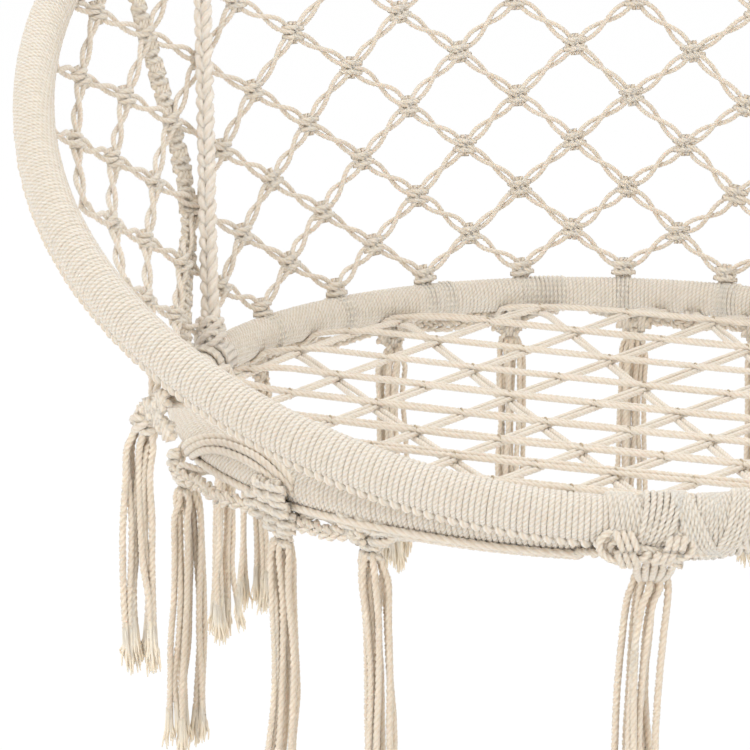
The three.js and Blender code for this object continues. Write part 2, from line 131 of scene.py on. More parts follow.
def headings(path: Points) -> Points:
    """Return the direction of a path at each of its points."""
    slope = np.gradient(path, axis=0)
    return slope / np.linalg.norm(slope, axis=1)[:, None]


def even(path: Points, step: float) -> Points:
    """Resample a path at even steps.

    Args:
        path: The points of the path, one per row.
        step: The wanted distance between samples, in metres.

    Returns:
        The even samples, both ends included.
    """
    runs = runs_along(path)
    count = max(3, int(round(runs[-1] / step)) + 1)
    wanted = np.linspace(0, runs[-1], count)
    return np.stack([np.interp(wanted, runs, path[:, axis]) for axis in range(3)], axis=1)


def length_of(path: Points) -> float:
    """Return the length of a path."""
    return float(np.linalg.norm(np.diff(path, axis=0), axis=1).sum())


def linked(name: str, data: bpy.types.ID) -> bpy.types.Object:
    """Put a new object in the scene.

    Args:
        name: Its name.
        data: Its mesh, curve, lamp or camera.

    Returns:
        The object, at the origin.
    """
    made = bpy.data.objects.new(name, data)
    bpy.context.scene.collection.objects.link(made)
    return made


@dataclass(frozen=True)
class Section:
    """A cord's cross-section: a ring with one lobe for each ply."""

    sides: int = 9
    lobes: int = 3
    groove: float = 0.8

    def profile(self) -> bpy.types.Object:
        """Return a closed profile curve of radius one metre.

        Returns:
            The curve's object, which is in no scene.
        """
        curve = bpy.data.curves.new("profile", "CURVE")
        curve.dimensions = "2D"
        spline = curve.splines.new("POLY")
        spline.points.add(self.sides - 1)
        for i, point in enumerate(spline.points):
            turn = i / self.sides * TAU
            dip = math.cos(self.lobes * turn) if self.lobes else -1
            reach = 1 - (1 - self.groove) * max(0.0, dip)
            point.co = (reach * math.cos(turn), reach * math.sin(turn), 0, 1)
        spline.use_cyclic_u = True
        return bpy.data.objects.new("profile", curve)


@dataclass(frozen=True)
class CordStyle:
    """One kind of cord: its radius, its lay and how finely it is sampled, in metres."""

    radius: float
    lay: float
    step: float = 0.0019
    section: Section = Section()


class Bundle:
    """Many cords of one section that are made into one piece."""

    def __init__(self, name: str, section: Section = Section()) -> None:
        """Start an empty bundle.

        Args:
            name: The name of the piece that it becomes.
            section: The cross-section of all its cords.
        """
        self.name = name
        self.section = section
        self.curve = bpy.data.curves.new(name, "CURVE")
        self.curve.dimensions = "3D"
        self.curve.bevel_mode = "OBJECT"
        self.curve.use_fill_caps = True
        self.metres = 0.0

    def add(
        self, path: Points, radius: float | Points, lay: float = 0.0, closed: bool = False, phase: float = 0.0
    ) -> None:
        """Add one cord.

        Args:
            path: The cord's points from the seat hoop's centre, in metres.
            radius: Its radius, or one radius for each point.
            lay: The length in which its plies turn once, or zero for none.
            closed: Whether the cord runs back into its start.
            phase: The turn of its plies at the start, in radians.
        """
        count = len(path)
        spline = self.curve.splines.new("POLY")
        spline.points.add(count - 1)
        placed = np.ones((count, 4))
        placed[:, :3] = path + SEAT_CENTRE
        spline.points.foreach_set("co", placed.ravel())
        spline.points.foreach_set("radius", np.broadcast_to(radius, count).astype(float))
        if lay:
            spline.points.foreach_set("tilt", phase + runs_along(path) / lay * TAU)
        spline.use_cyclic_u = closed
        self.metres += length_of(path)

    def cord(self, control: Points, style: CordStyle, phase: float = 0.0) -> None:
        """Add a smooth cord of that style through the control points."""
        self.add(even(smooth(control), style.step), style.radius, style.lay, phase=phase)

    def _mesh(self) -> bpy.types.Mesh:
        """Return the cords as one mesh with closed ends.

        Returns:
            The mesh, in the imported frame.
        """
        profile = self.section.profile()
        self.curve.bevel_object = profile
        source = linked(self.name + "_source", self.curve)
        graph = bpy.context.evaluated_depsgraph_get()
        mesh = bpy.data.meshes.new_from_object(source.evaluated_get(graph), depsgraph=graph)
        bpy.data.objects.remove(source)
        bpy.data.objects.remove(profile)
        shape = bmesh.new()
        shape.from_mesh(mesh)
        rims = [vertex for vertex in shape.verts if vertex.is_boundary]
        bmesh.ops.remove_doubles(shape, verts=rims, dist=1e-7)
        bmesh.ops.recalc_face_normals(shape, faces=shape.faces)
        shape.to_mesh(mesh)
        shape.free()
        mesh.shade_smooth()
        mesh.materials.clear()
        return mesh

    def build(
        self, slot: Slot, material: bpy.types.Material, node: str = "", body: str = ""
    ) -> bpy.types.Object:
        """Turn the cords into one closed mesh piece.

        Args:
            slot: The record's slot for the piece; it is not used.
            material: The material of the whole piece.
            node: The CAD node that it stands in for, if any.
            body: The body that it rides on, if only one.

        Returns:
            The finished object, at the origin.
        """
        mesh = self._mesh()
        mesh.materials.append(material)
        piece = linked(self.name, mesh)
        if node:
            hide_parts(node)
        if body:
            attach(piece, body)
        LOG.info("%s: %.1f m of cord, %d faces", self.name, self.metres, len(mesh.polygons))
        return piece


# Shader graphs


class Wire:
    """A socket's value in a shader graph, with arithmetic."""

    def __init__(self, graph: "ShaderGraph", socket: bpy.types.NodeSocket) -> None:
        """Wrap an output socket of that graph."""
        self.graph = graph
        self.socket = socket

    def _math(self, operation: str, *values: "Wire | float") -> "Wire":
        """Return the result of a Math node over the values."""
        return self.graph.node("ShaderNodeMath", {"operation": operation}, dict(enumerate(values))).out(0)

    def __add__(self, other: "Wire | float") -> "Wire":
        """Return self + other."""
        return self._math("ADD", self, other)

    def __mul__(self, other: "Wire | float") -> "Wire":
        """Return self * other."""
        return self._math("MULTIPLY", self, other)

    def sine(self) -> "Wire":
        """Return the sine of the value in radians."""
        return self._math("SINE", self)

    def over(self, low: float, high: float) -> "Wire":
        """Return how far the value is between two bounds, eased at both.

        Args:
            low: The bound that gives zero.
            high: The bound that gives one.

        Returns:
            The share, from zero to one.
        """
        settings = {"interpolation_type": "SMOOTHSTEP"}
        links = {"Value": self, "From Min": low, "From Max": high}
        return self.graph.node("ShaderNodeMapRange", settings, links).out("Result")


class GraphNode:
    """A node that has been added to a shader graph."""

    def __init__(self, graph: "ShaderGraph", node: bpy.types.Node) -> None:
        """Wrap a node of that graph."""
        self.graph = graph
        self.node = node

    def out(self, key: int | str) -> Wire:
        """Return one of the node's outputs."""
        return Wire(self.graph, self.node.outputs[key])


class ShaderGraph:
    """The node tree of one material or world."""

    def __init__(self, owner: bpy.types.ID) -> None:
        """Clear the owner's node tree and start on it."""
        owner.use_nodes = True
        self.tree = owner.node_tree
        self.tree.nodes.clear()

    def node(self, kind: str, settings: dict | None = None, links: dict | None = None) -> GraphNode:
        """Add a node.

        Args:
            kind: The node's type name.
            settings: Its properties.
            links: Its inputs by name or index, each a value or a wire.

        Returns:
            The new node.
        """
        made = self.tree.nodes.new(kind)
        for key, value in (settings or {}).items():
            setattr(made, key, value)
        for key, value in (links or {}).items():
            if isinstance(value, Wire):
                self.tree.links.new(value.socket, made.inputs[key])
            else:
                made.inputs[key].default_value = value
        return GraphNode(self, made)

    def noise(self, scale: float, detail: float = 2.0, vector: Wire | None = None) -> Wire:
        """Return a noise value.

        Args:
            scale: How many blotches there are in a metre.
            detail: How many finer layers are added.
            vector: The place, or the object's own coordinates without one.

        Returns:
            The noise, from zero to one.
        """
        place = vector or self.node("ShaderNodeTexCoord").out("Object")
        links = {"Vector": place, "Scale": scale, "Detail": detail}
        return self.node("ShaderNodeTexNoise", {}, links).out("Fac")

    def mix(self, share: Wire | float, low: "Wire | tuple", high: "Wire | tuple") -> Wire:
        """Return a colour between two colours."""
        return self.node("ShaderNodeMix", {"data_type": "RGBA"}, {0: share, 6: low, 7: high}).out(2)

    def surface(self, kind: str, output: str, links: dict) -> None:
        """Add the shader of that kind and lead it to the surface."""
        shader = self.node(kind, {}, links)
        self.node(output, {}, {"Surface": shader.out(0)})

    def bump(self, height: Wire, distance: float, normal: Wire | None = None, strength: float = 1.0) -> Wire:
        """Return a normal bumped by the height.

        Args:
            height: The height, from zero to one.
            distance: How far one stands out, in metres.
            normal: The normal that is bumped, if not the surface's own.
            strength: The share of the bump that shows.

        Returns:
            The bumped normal.
        """
        links = {"Height": height, "Distance": distance, "Strength": strength}
        if normal:
            links["Normal"] = normal
        return self.node("ShaderNodeBump", {}, links).out("Normal")


def linear(red: float, green: float, blue: float) -> tuple[float, float, float, float]:
    """Return a display colour as a linear one.

    Args:
        red: The red channel, from 0 to 255.
        green: The green one.
        blue: The blue one.

    Returns:
        The linear channels, from zero to one, and an alpha of one.
    """
    channels = [c / 255 for c in (red, green, blue)]
    values = [c / 12.92 if c <= 0.04045 else ((c + 0.055) / 1.055) ** 2.4 for c in channels]
    return (*values, 1.0)


@dataclass(frozen=True)
class Cotton:
    """Undyed cotton cord: its tones, painted shade in the grooves between plies, and the fuzz on it."""

    name: str
    light: Tone
    dark: Tone
    # The painted shade in the grooves between plies: its tone here, and further down how much of it shows.
    groove: Tone = (198, 174, 142)
    fleck: Tone = (190, 166, 130)
    plies: int = 3
    twists: float = 0.0
    groove_shade_share: float = 0.42
    sheen: float = 0.3

    def _groove(self, graph: ShaderGraph) -> Wire:
        """Return where the grooves between plies lie.

        Args:
            graph: The material's graph.

        Returns:
            One in a groove and minus one on top of a ply.
        """
        axes = graph.node("ShaderNodeSeparateXYZ", {}, {0: graph.node("ShaderNodeTexCoord").out("UV")})
        turn = axes.out("Y") * (self.plies * TAU)
        if self.twists:
            turn = turn + axes.out("X") * (self.twists * self.plies * TAU)
        return (turn + math.pi / 2).sine()

    def _tone(self, graph: ShaderGraph) -> Wire:
        """Return the cord's colour, uneven from place to place, with seed flecks and painted shade in the
        grooves between plies.

        Args:
            graph: The material's graph.

        Returns:
            The colour.
        """
        broad = graph.noise(BROAD, 2.0).over(0.35, 0.65)
        yarn = graph.noise(YARN, 3.0).over(0.3, 0.75)
        base = graph.mix(broad * 0.16 + yarn * 0.5, linear(*self.light), linear(*self.dark))
        fleck = graph.noise(FLECK, 1.0).over(0.7, 0.78)
        flecked = graph.mix(fleck * 0.25, base, linear(*self.fleck))
        # Painted shade: the grooves between plies are darkened towards the groove tone.
        return graph.mix(self._groove(graph).over(0.1, 1.0) * self.groove_shade_share, flecked, linear(*self.groove))

    def _relief(self, graph: ShaderGraph) -> Wire:
        """Return the normal of plies with fine fibres on them.

        Args:
            graph: The material's graph.

        Returns:
            The normal.
        """
        fibres = graph.bump(graph.noise(FIBRE, 4.0), 0.0004, strength=0.7)
        if not self.twists:
            return fibres
        return graph.bump(self._groove(graph) * -1.0, 0.00022, fibres)

    def make(self) -> bpy.types.Material:
        """Make the finish.

        Returns:
            The material.
        """
        material = bpy.data.materials.new(self.name)
        graph = ShaderGraph(material)
        links = {
            "Base Color": self._tone(graph),
            "Roughness": 0.95,
            "Specular IOR Level": 0.1,
            "Sheen Weight": self.sheen,
            "Sheen Roughness": 0.5,
            "Subsurface Weight": 0.35,
            "Subsurface Radius": (1.0, 0.8, 0.6),
            "Subsurface Scale": 0.0016,
            "Normal": self._relief(graph),
        }
        graph.surface("ShaderNodeBsdfPrincipled", "ShaderNodeOutputMaterial", links)
        return material


@dataclass(frozen=True)
class Steel:
    """Bright zinc-plated steel."""

    name: str
    tone: Tone
    roughness: float
    dim: float = 0.86

    def make(self) -> bpy.types.Material:
        """Make the finish.

        Returns:
            The material.
        """
        material = bpy.data.materials.new(self.name)
        graph = ShaderGraph(material)
        spangle = graph.noise(180.0, 2.0).over(0.3, 0.7)
        tone = graph.mix(spangle, linear(*self.tone), linear(*[c * self.dim for c in self.tone]))
        links = {
            "Base Color": tone,
            "Metallic": 1.0,
            "Roughness": graph.noise(420.0, 3.0) * 0.25 + self.roughness,
            "Normal": graph.bump(graph.noise(900.0, 2.0), 0.00008, strength=0.4),
        }
        graph.surface("ShaderNodeBsdfPrincipled", "ShaderNodeOutputMaterial", links)
        return material


# The chair's layout, from the seat hoop's centre


@dataclass(frozen=True)
class Hoop:
    """A round hoop of wrapped tube. Angles start at its rearmost point and grow towards +X, in degrees."""

    radius: float
    lean: float = 0.0
    front: tuple[float, float] = (-0.3, 0.0)
    tube: float = 0.014

    def _in_plane(self, across: Angles, back: Angles) -> Points:
        """Return the direction in the hoop's plane with those shares across and back."""
        lean = math.radians(self.lean)
        return np.stack([across, back * math.cos(lean), back * math.sin(lean)], axis=-1)

    @property
    def centre(self) -> Points:
        """The hoop's centre."""
        lean = math.radians(self.lean)
        depth, height = self.front
        return np.array([0, depth + self.radius * math.cos(lean), height + self.radius * math.sin(lean)])

    @property
    def normal(self) -> Points:
        """The direction square to the hoop's plane, upwards."""
        lean = math.radians(self.lean)
        return np.array([0, -math.sin(lean), math.cos(lean)])

    def outward(self, angle: Angles) -> Points:
        """Return the direction away from the hoop's centre."""
        return self._in_plane(np.sin(np.radians(angle)), np.cos(np.radians(angle)))

    def along(self, angle: Angles) -> Points:
        """Return the tube's direction at that angle."""
        return self._in_plane(np.cos(np.radians(angle)), -np.sin(np.radians(angle)))

    def point(self, angle: Angles) -> Points:
        """Return the tube's centre at that angle."""
        return self.centre + self.radius * self.outward(angle)

    def around(self, angle: Angles, turn: Angles, reach: Angles) -> Points:
        """Return points round the tube.

        Args:
            angle: Where along the hoop, in degrees.
            turn: Where round the tube, in degrees, from outward over the upper side.
            reach: The distance from the tube's centre.

        Returns:
            The points, one for each angle.
        """
        spin = np.radians(np.asarray(turn, float))[..., None]
        arm = np.cos(spin) * self.outward(angle) + np.sin(spin) * self.normal
        return self.point(angle) + np.asarray(reach, float)[..., None] * arm

    def loop(self, angle: float, cord: float, start: float, drift: float) -> Points:
        """Return a hitch: one turn round the tube from start, which moves along the hoop by drift."""
        share = np.linspace(0, 1, 20)
        return self.around(angle + drift * share, start + 360 * share, self.tube + cord)

    def tail(self, angle: float, arrival: Points, turns: float, drift: float = 0.4) -> Points:
        """Return the end of a cord that comes to the tube, runs round it and sinks under its winding.

        Args:
            angle: Where along the hoop, in degrees.
            arrival: The point that the cord comes from.
            turns: How many turns it makes, negative the other way round.
            drift: How far it moves along the hoop, in degrees.

        Returns:
            The points of the end.
        """
        arm = arrival - self.point(angle)
        start = math.degrees(math.atan2(float(arm @ self.normal), float(arm @ self.outward(angle))))
        share = np.linspace(0.08, 1, int(16 * abs(turns)) + 4)
        reach = self.tube + TAIL_LIFT - TAIL_SINK * np.clip(share * 2 - 1, 0, 1)
        return self.around(angle + drift * share, start + 360 * turns * share, reach)


# How far apart the two tubes' centres are at the front, and in which direction.
SPACING = 0.0286
RISE = math.radians(29)
SEAT_HOOP = Hoop(0.300)
BACK_HOOP = Hoop(0.400, 32.0, (-0.300 - SPACING * math.cos(RISE), SPACING * math.sin(RISE)))


@dataclass(frozen=True)
class NetSurface:
    """The back net's surface, ruled from the seat hoop to the back hoop at equal angles."""

    row_heights: tuple[float, ...] = (0.022, 0.054, 0.090, 0.128, 0.166, 0.206, 0.245)
    row_pitch: float = 0.0385
    column_step: float = 8.0
    edge_angle: float = 96.0

    def length(self, angle: float) -> float:
        """Return the distance between the hoops at that angle."""
        return float(np.linalg.norm(BACK_HOOP.point(angle) - SEAT_HOOP.point(angle)))

    def frame(self, angle: float) -> tuple[Points, Points, Points]:
        """Return the net's own directions.

        Args:
            angle: Where round the hoops, in degrees.

        Returns:
            The directions round the net, up the net and inwards.
        """
        up = unit(BACK_HOOP.point(angle) - SEAT_HOOP.point(angle))
        inward = unit(np.cross(BACK_HOOP.along(angle), up))
        return np.cross(up, inward), up, inward

    def point(self, angle: float, height: float, lift: float = 0.0) -> Points:
        """Return the point at that angle and height, lifted inwards by lift."""
        _, up, inward = self.frame(angle)
        return SEAT_HOOP.point(angle) + height * up + lift * inward

    def knot(self, column: int, row: int) -> tuple[float, float]:
        """Return where a knot lies.

        Args:
            column: Its column, counted from the rear in half cells round the hoop.
            row: Its row, counted from the seat hoop up.

        Returns:
            Its angle in degrees and its height in metres.
        """
        angle = column * self.column_step
        shrink = 1 - 0.23 * (abs(angle) / 90) ** 1.4
        known = min(max(row, 0), len(self.row_heights) - 1)
        height = self.row_heights[known] + (row - known) * self.row_pitch
        return angle, height * shrink


NET = NetSurface()
NET_CORD = CordStyle(0.0021, 0.0130)
KNOT_CORD = CordStyle(0.0022, 0.0130, 0.0017)
FRINGE_CORD = CordStyle(0.0024, 0.0140, 0.0021)
SOFT_SECTION = Section(9, 3, 0.86)
YARNS_PER_CORD = 15


@dataclass(frozen=True)
class SquareKnot:
    """A square knot of two interlocked bights over two core cords."""

    size: float = 1.3
    style: CordStyle = KNOT_CORD
    core: bool = True
    depth: float = 1.0

    def add_to(self, bundle: Bundle, centre: Points, across: Points, up: Points) -> None:
        """Add the knot.

        Args:
            bundle: What its cords are added to.
            centre: The knot's middle.
            across: The direction in which the bights lie.
            up: The direction of the core.
        """
        face = unit(np.cross(across, up))
        axes = np.array([across, up, face])
        bight = self.size / 1000 * np.array([
            [-6.4, 2.5, -1.2], [-3.6, 2.7, 1.2], [-0.2, 2.5, 2.2], [3.0, 2.2, 0.4], [4.7, 0.0, -1.5],
            [3.0, -2.2, 0.4], [-0.2, -2.5, 2.2], [-3.6, -2.7, 1.2], [-6.4, -2.5, -1.2],
        ])
        for turn in (1, -1):
            local = bight * np.array([turn, turn, self.depth if turn > 0 else 0.8 * self.depth])
            bundle.cord(centre + local @ axes, self.style, phase=float(turn))
        if self.core:
            for side in (-1, 1):
                core = [[side * 1.5, -6.2, -0.9], [side * 1.1, 0, -0.6], [side * 1.5, 6.2, -0.9]]
                local = self.size / 1000 * np.array(core)
                bundle.cord(centre + local @ axes, self.style, phase=float(side))


# Sub-assemblies


@dataclass
class WoundHoop:
    """The cotton cord wound turn by turn over a hoop's tube, with the row of hitches along one side."""

    name: str
    hoop: Hoop
    body: Body
    replaces: str
    row_turn: float | None = None
    steps: int = 20
    cord: float = 0.0020
    sink: float = 0.0018
    uneven: tuple[float, float] = (0.00006, 0.012)
    # How much painted shade darkens the grooves between the winding cord's plies.
    groove_shade_share: float = 0.38
    hitch: float = 0.0026
    hitch_span: float = 16.0

    @property
    def turns(self) -> int:
        """The number of turns round the tube."""
        return int(round(TAU * self.hoop.radius / WINDING_PITCH))

    def build(self, light: Tone, dark: Tone) -> None:
        """Make the winding.

        Args:
            light: The cotton's tone where it is palest.
            dark: Its tone where it is darkest.
        """
        count = self.turns * self.steps
        share = np.arange(count) / count
        rng = np.random.default_rng(7)
        marks = np.arange(self.turns + 1)
        loose, slip = (
            np.interp(share * self.turns, marks, rng.normal(0, size, self.turns + 1)) for size in self.uneven
        )
        reach = self.hoop.tube - self.sink + loose
        path = self.hoop.around(360 * share + slip, 360 * self.turns * share, reach)
        twists = length_of(path) / WINDING_LAY
        finish = Cotton(f"wound_cotton_{self.name}", light, dark, twists=twists, groove_shade_share=self.groove_shade_share)
        bundle = Bundle(self.name, Section(6, 0))
        bundle.add(path, self.cord, closed=True)
        bundle.build(Slot.HOOP, finish.make(), self.replaces, self.body.value)

    def hitches(self, material: bpy.types.Material) -> None:
        """Make the row of hitches along the winding.

        Args:
            material: The cotton of the hitches.
        """
        bundle = Bundle(self.name + "_hitches", Section(8, 0))
        rng = np.random.default_rng(11)
        for i in range(self.turns // 2):
            angle = 720 * i / self.turns + rng.normal(0, 0.03)
            share = np.linspace(-1, 1, 7)
            turn = self.row_turn + rng.normal(0, 1.8) + self.hitch_span * share
            reach = self.hoop.tube + 0.0009 - 0.0024 * share**2
            path = self.hoop.around(angle + 0.25 * share, turn, reach)
            bundle.add(path, self.hitch * (1 - 0.35 * share**2))
        bundle.build(Slot.HOOP, material, body=self.body.value)


@dataclass
class SeatNet:
    """The seat's net: paired cords in three directions, stitched where they cross, tied to the seat hoop."""

    half_width: float = 0.0504
    half_depth: float = 0.0362
    turn: float = 13.5
    shift: tuple[float, float] = (-0.0148, -0.024)
    flare: float = 0.25
    stretch: float = 0.17
    spread: float = 0.0017
    pinch: float = 0.0020
    reach: int = 9
    hoop: Hoop = SEAT_HOOP
    rear_from: float = 0.05
    front_from: float = -0.262
    rim_bend: float = 0.0085
    sag: float = 0.004
    levels: tuple[float, float, float] = (0.0016, -0.0014, -0.0040)
    stitch_reach: float = 0.0038
    stitch_yarn: float = 0.0006

    def knot(self, across: float, back: float) -> Points:
        """Return the place of a crossing in the seat's plane.

        Args:
            across: Its count along the first family of cords.
            back: Its count along the second one.

        Returns:
            The place, from the hoop's centre.
        """
        spin = math.radians(self.turn)
        x = (across - back) * self.half_width
        y = (-across - back) * self.half_depth
        wide = x * math.cos(spin) - y * math.sin(spin) + self.shift[0]
        deep = x * math.sin(spin) + y * math.cos(spin) + self.shift[1]
        share = deep / self.hoop.radius
        return np.array([wide * (1 + self.flare * share), deep + self.stretch * share * deep, 0.0])

    def _sag(self, place: Points) -> Points:
        """Return the net's height over the hoop's plane.

        Args:
            place: One place in that plane, or one in each row.

        Returns:
            The height, which falls towards the middle and where the cords pass under the rear.
        """
        out = np.hypot(place[..., 0], place[..., 1]) / (self.hoop.radius - self.hoop.tube)
        bend = np.where(place[..., 1] > self.rear_from, -self.rim_bend, self.rim_bend)
        return np.clip((out - 0.8) / 0.2, 0, 1) ** 2 * bend - self.sag * np.clip(1 - out**2, 0, 1)

    def _line(self, bundle: Bundle, start: tuple[int, int], step: tuple[int, int], level: float) -> None:
        """Add the two cords of one line, with their ends round the hoop.

        Args:
            bundle: What the cords are added to.
            start: The crossing that the line passes through.
            step: The number of crossings in each direction from one to the next.
            level: How high the line lies over the others at a crossing.
        """
        whole, runs = np.arange(-14, 15), np.arange(-14, 14.01, 0.125)
        knots = np.array([self.knot(start[0] + r * step[0], start[1] + r * step[1]) for r in whole])
        place = np.stack([np.interp(runs, whole, knots[:, axis]) for axis in range(3)], axis=1)
        inside = np.hypot(place[:, 0], place[:, 1]) < self.hoop.radius - self.hoop.tube - 0.0004
        if inside.sum() < 10:
            return
        place, runs = place[inside], runs[inside]
        heading = headings(place)
        aside = np.column_stack([-heading[:, 1], heading[:, 0], np.zeros(len(place))])
        rng = np.random.default_rng(abs(start[0] * 31 + start[1] * 7 + step[0]) + 1)
        at_knot = np.cos(math.pi * runs) ** 2
        loose = np.interp(runs, np.arange(-15, 16), rng.uniform(0.7, 1.9, 31))
        gap = self.pinch * at_knot + self.spread * loose * (1 - at_knot)
        for side in (-1, 1):
            path = place + side * gap[:, None] * aside
            path[:, 2] = level + self._sag(place) + rng.normal(0, 0.0003)
            ends = [self._end(path[0], side), self._end(path[-1], -side)]
            bundle.cord(np.vstack([ends[0][::-1], path, ends[1]]), NET_CORD, phase=rng.uniform(0, TAU))

    def _end(self, arrival: Points, side: int) -> Points:
        """Return a cord's end, under the hoop at the rear and over it at the front.

        Args:
            arrival: The last point of the cord inside the hoop.
            side: Which of the line's two cords it is.

        Returns:
            The points of the end.
        """
        angle = math.degrees(math.atan2(arrival[0], arrival[1]))
        turns = 0.5 if arrival[1] > self.rear_from else -0.3 if arrival[1] < self.front_from else -0.2
        return self.hoop.tail(angle + side * 0.35, arrival, turns, side * 1.1)

    def build(self, material: bpy.types.Material, painted_shade_stitch: bpy.types.Material) -> None:
        """Make the net's cords and the stitches where they cross.

        Args:
            material: The net's cotton.
            painted_shade_stitch: The yarn of the stitches, dark as painted shade in the slits where the cords
                are bound.
        """
        rows = range(-self.reach, self.reach + 1)
        sets = (
            ("across", "seat_net", [(0, i) for i in rows], (1, 0)),
            ("back", "", [(i, 0) for i in rows], (0, 1)),
            ("diagonal", "", [(i, -i + 1) for i in rows], (1, 1)),
        )
        for (name, node, starts, step), level in zip(sets, self.levels):
            bundle = Bundle(f"seat_net_{name}")
            for start in starts:
                self._line(bundle, start, step, level)
            bundle.build(Slot.NET, material, node, Body.SEAT.value)
        stitches = Bundle("seat_net_stitches", Section(6, 0))
        for i in rows:
            for j in rows:
                spot = self.knot(i, j)
                if np.hypot(*spot[:2]) < self.hoop.radius - 0.026:
                    self._stitch(stitches, spot, self.knot(i + 0.1, j) - spot, self.knot(i, j + 0.1) - spot)
        # The stitches' dark yarn is painted shade in the slits where the crossing cords are bound.
        stitches.build(Slot.NET, painted_shade_stitch, body=Body.SEAT.value)

    def _stitch(self, bundle: Bundle, spot: Points, first: Points, second: Points) -> None:
        """Add the short turn of yarn that binds a crossing.

        Args:
            bundle: What the turn is added to.
            spot: The crossing.
            first: The direction of the first family there.
            second: The direction of the second one.
        """
        aside = unit(unit(first) + unit(second))
        spin = np.linspace(0, TAU, 13)
        centre = spot + float(self._sag(spot)) * UP
        path = centre + np.outer(np.cos(spin) * self.stitch_reach, aside)
        path += np.outer(np.sin(spin) * self.stitch_reach, UP)
        bundle.add(path, self.stitch_yarn)


@dataclass
class BackNet:
    """The back's net of square knots, whose paired cords cross once between knots."""

    panels: int = 6
    columns: int = 12
    rows: int = 13
    eye: float = 0.0031
    depth: float = 0.0021
    margin: float = 0.0165
    knot: SquareKnot = SquareKnot(1.42)
    seams: tuple[float, float, float] = (-32.0, 0.0, 32.0)
    extra_ties: tuple[tuple[float, int], ...] = ((-6.6, 8), (24.2, 4), (-21.6, 3))
    tie_pitch: float = 0.7
    bundles: list[Bundle] = field(default_factory=list)

    def _panel(self, angle: float, height: float) -> int:
        """Return which of the net's panels, from left to right, holds a place on it."""
        stay = SideStay.angle_at(height / NET.length(angle))
        return sum(angle > edge for edge in (-stay, *self.seams, stay))

    def _clear(self, angles: Points, heights: Points) -> np.ndarray:
        """Return which places lie between the hoops and clear of both windings.

        Args:
            angles: The places' angles.
            heights: Their heights over the seat hoop.

        Returns:
            True for each place that does.
        """
        kept = []
        for angle, height in zip(angles, heights):
            place = NET.point(angle, height)
            near = angle + np.linspace(-3, 3, 7)
            tubes = np.vstack([SEAT_HOOP.point(near), BACK_HOOP.point(near)])
            least = np.linalg.norm(place - tubes, axis=1).min()
            kept.append(0 < height < NET.length(angle) and least > self.margin)
        return np.array(kept)

    def _segment(
        self, start: tuple[float, float], end: tuple[float, float], rng: np.random.Generator
    ) -> None:
        """Add the two cords between two knots, cut where they reach a hoop.

        Args:
            start: The lower knot's angle and height.
            end: The upper knot's angle and height.
            rng: The source of small differences.
        """
        share = np.linspace(0, 1, 21)
        angles = start[0] + (end[0] - start[0]) * share
        heights = start[1] + (end[1] - start[1]) * share
        if abs(angles).max() > NET.edge_angle + 0.5:
            return
        keep = np.flatnonzero(self._clear(angles, heights))
        if len(keep) < 3:
            return
        centre = np.array([NET.point(a, h) for a, h in zip(angles, heights)])
        inward = np.array([NET.frame(a)[2] for a in angles])
        aside = np.cross(inward, headings(centre))
        bundle = self.bundles[self._panel(angles[10], heights[10])]
        eye = self.eye * rng.uniform(0.75, 1.25)
        sway = rng.normal(0, 0.0008, 2)
        for side in (-1, 1):
            swing = eye * np.sin(TAU * share) * side + sway[0] * np.sin(math.pi * share)
            sink = self.depth * np.cos(TAU * share) * side + sway[1] * np.sin(math.pi * share)
            path = (centre + swing[:, None] * aside + sink[:, None] * inward)[keep[0]:keep[-1] + 1]
            if keep[-1] < 20:
                path = np.vstack([path, BACK_HOOP.tail(angles[keep[-1]], path[-1], 0.3, 0.5 * side)])
            if keep[0] > 0:
                path = np.vstack([SEAT_HOOP.tail(angles[keep[0]], path[0], -0.6, 0.6 * side)[::-1], path])
            bundle.cord(path, NET_CORD, phase=rng.uniform(0, TAU))

    def build(self, material: bpy.types.Material, tie: bpy.types.Material) -> None:
        """Make the net, one piece for each panel.

        Args:
            material: The net's cotton.
            tie: The cotton that ties its foot to the seat hoop.
        """
        rng = np.random.default_rng(3)
        self.bundles = [Bundle(f"back_net_cords_{i + 1}") for i in range(self.panels)]
        for column in range(-self.columns, self.columns + 1):
            for row in range(-1, self.rows):
                if (column + row) % 2 == 0:
                    continue
                here = NET.knot(column, row)
                for reach in (-1, 1):
                    self._segment(here, NET.knot(column + reach, row + 1), rng)
                if abs(column) < self.columns and self._clear(*np.array([here]).T)[0]:
                    across, up, _ = NET.frame(here[0])
                    tilt = rng.normal(0, 0.12)
                    across, up = across + tilt * up, up - tilt * across
                    bundle = self.bundles[self._panel(*here)]
                    self.knot.add_to(bundle, NET.point(*here), unit(across), unit(up))
        for i, bundle in enumerate(self.bundles):
            cross_fold(bundle.build(Slot.NET, material, f"back_net_{i + 1}"))
        self._ties(tie)

    def _ties(self, material: bpy.types.Material) -> None:
        """Make the turns that tie the net's foot round the seat hoop.

        Args:
            material: The cotton of the ties.
        """
        ties = Bundle("seat_hoop_ties", SOFT_SECTION)
        starts = [(NET.column_step * column - 0.8, 3) for column in range(-9, 10, 2)]
        for angle, count in (*starts, *self.extra_ties):
            for k in range(count):
                loop = SEAT_HOOP.loop(angle + self.tie_pitch * k, -0.0006, 300.0, 0.3)
                ties.add(loop, 0.0019, 0.011)
        ties.build(Slot.HOOP, material, body=Body.SEAT.value)


def cross_fold(piece: bpy.types.Object) -> None:
    """Bake a soft piece's transform into its mesh."""
    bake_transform(piece)


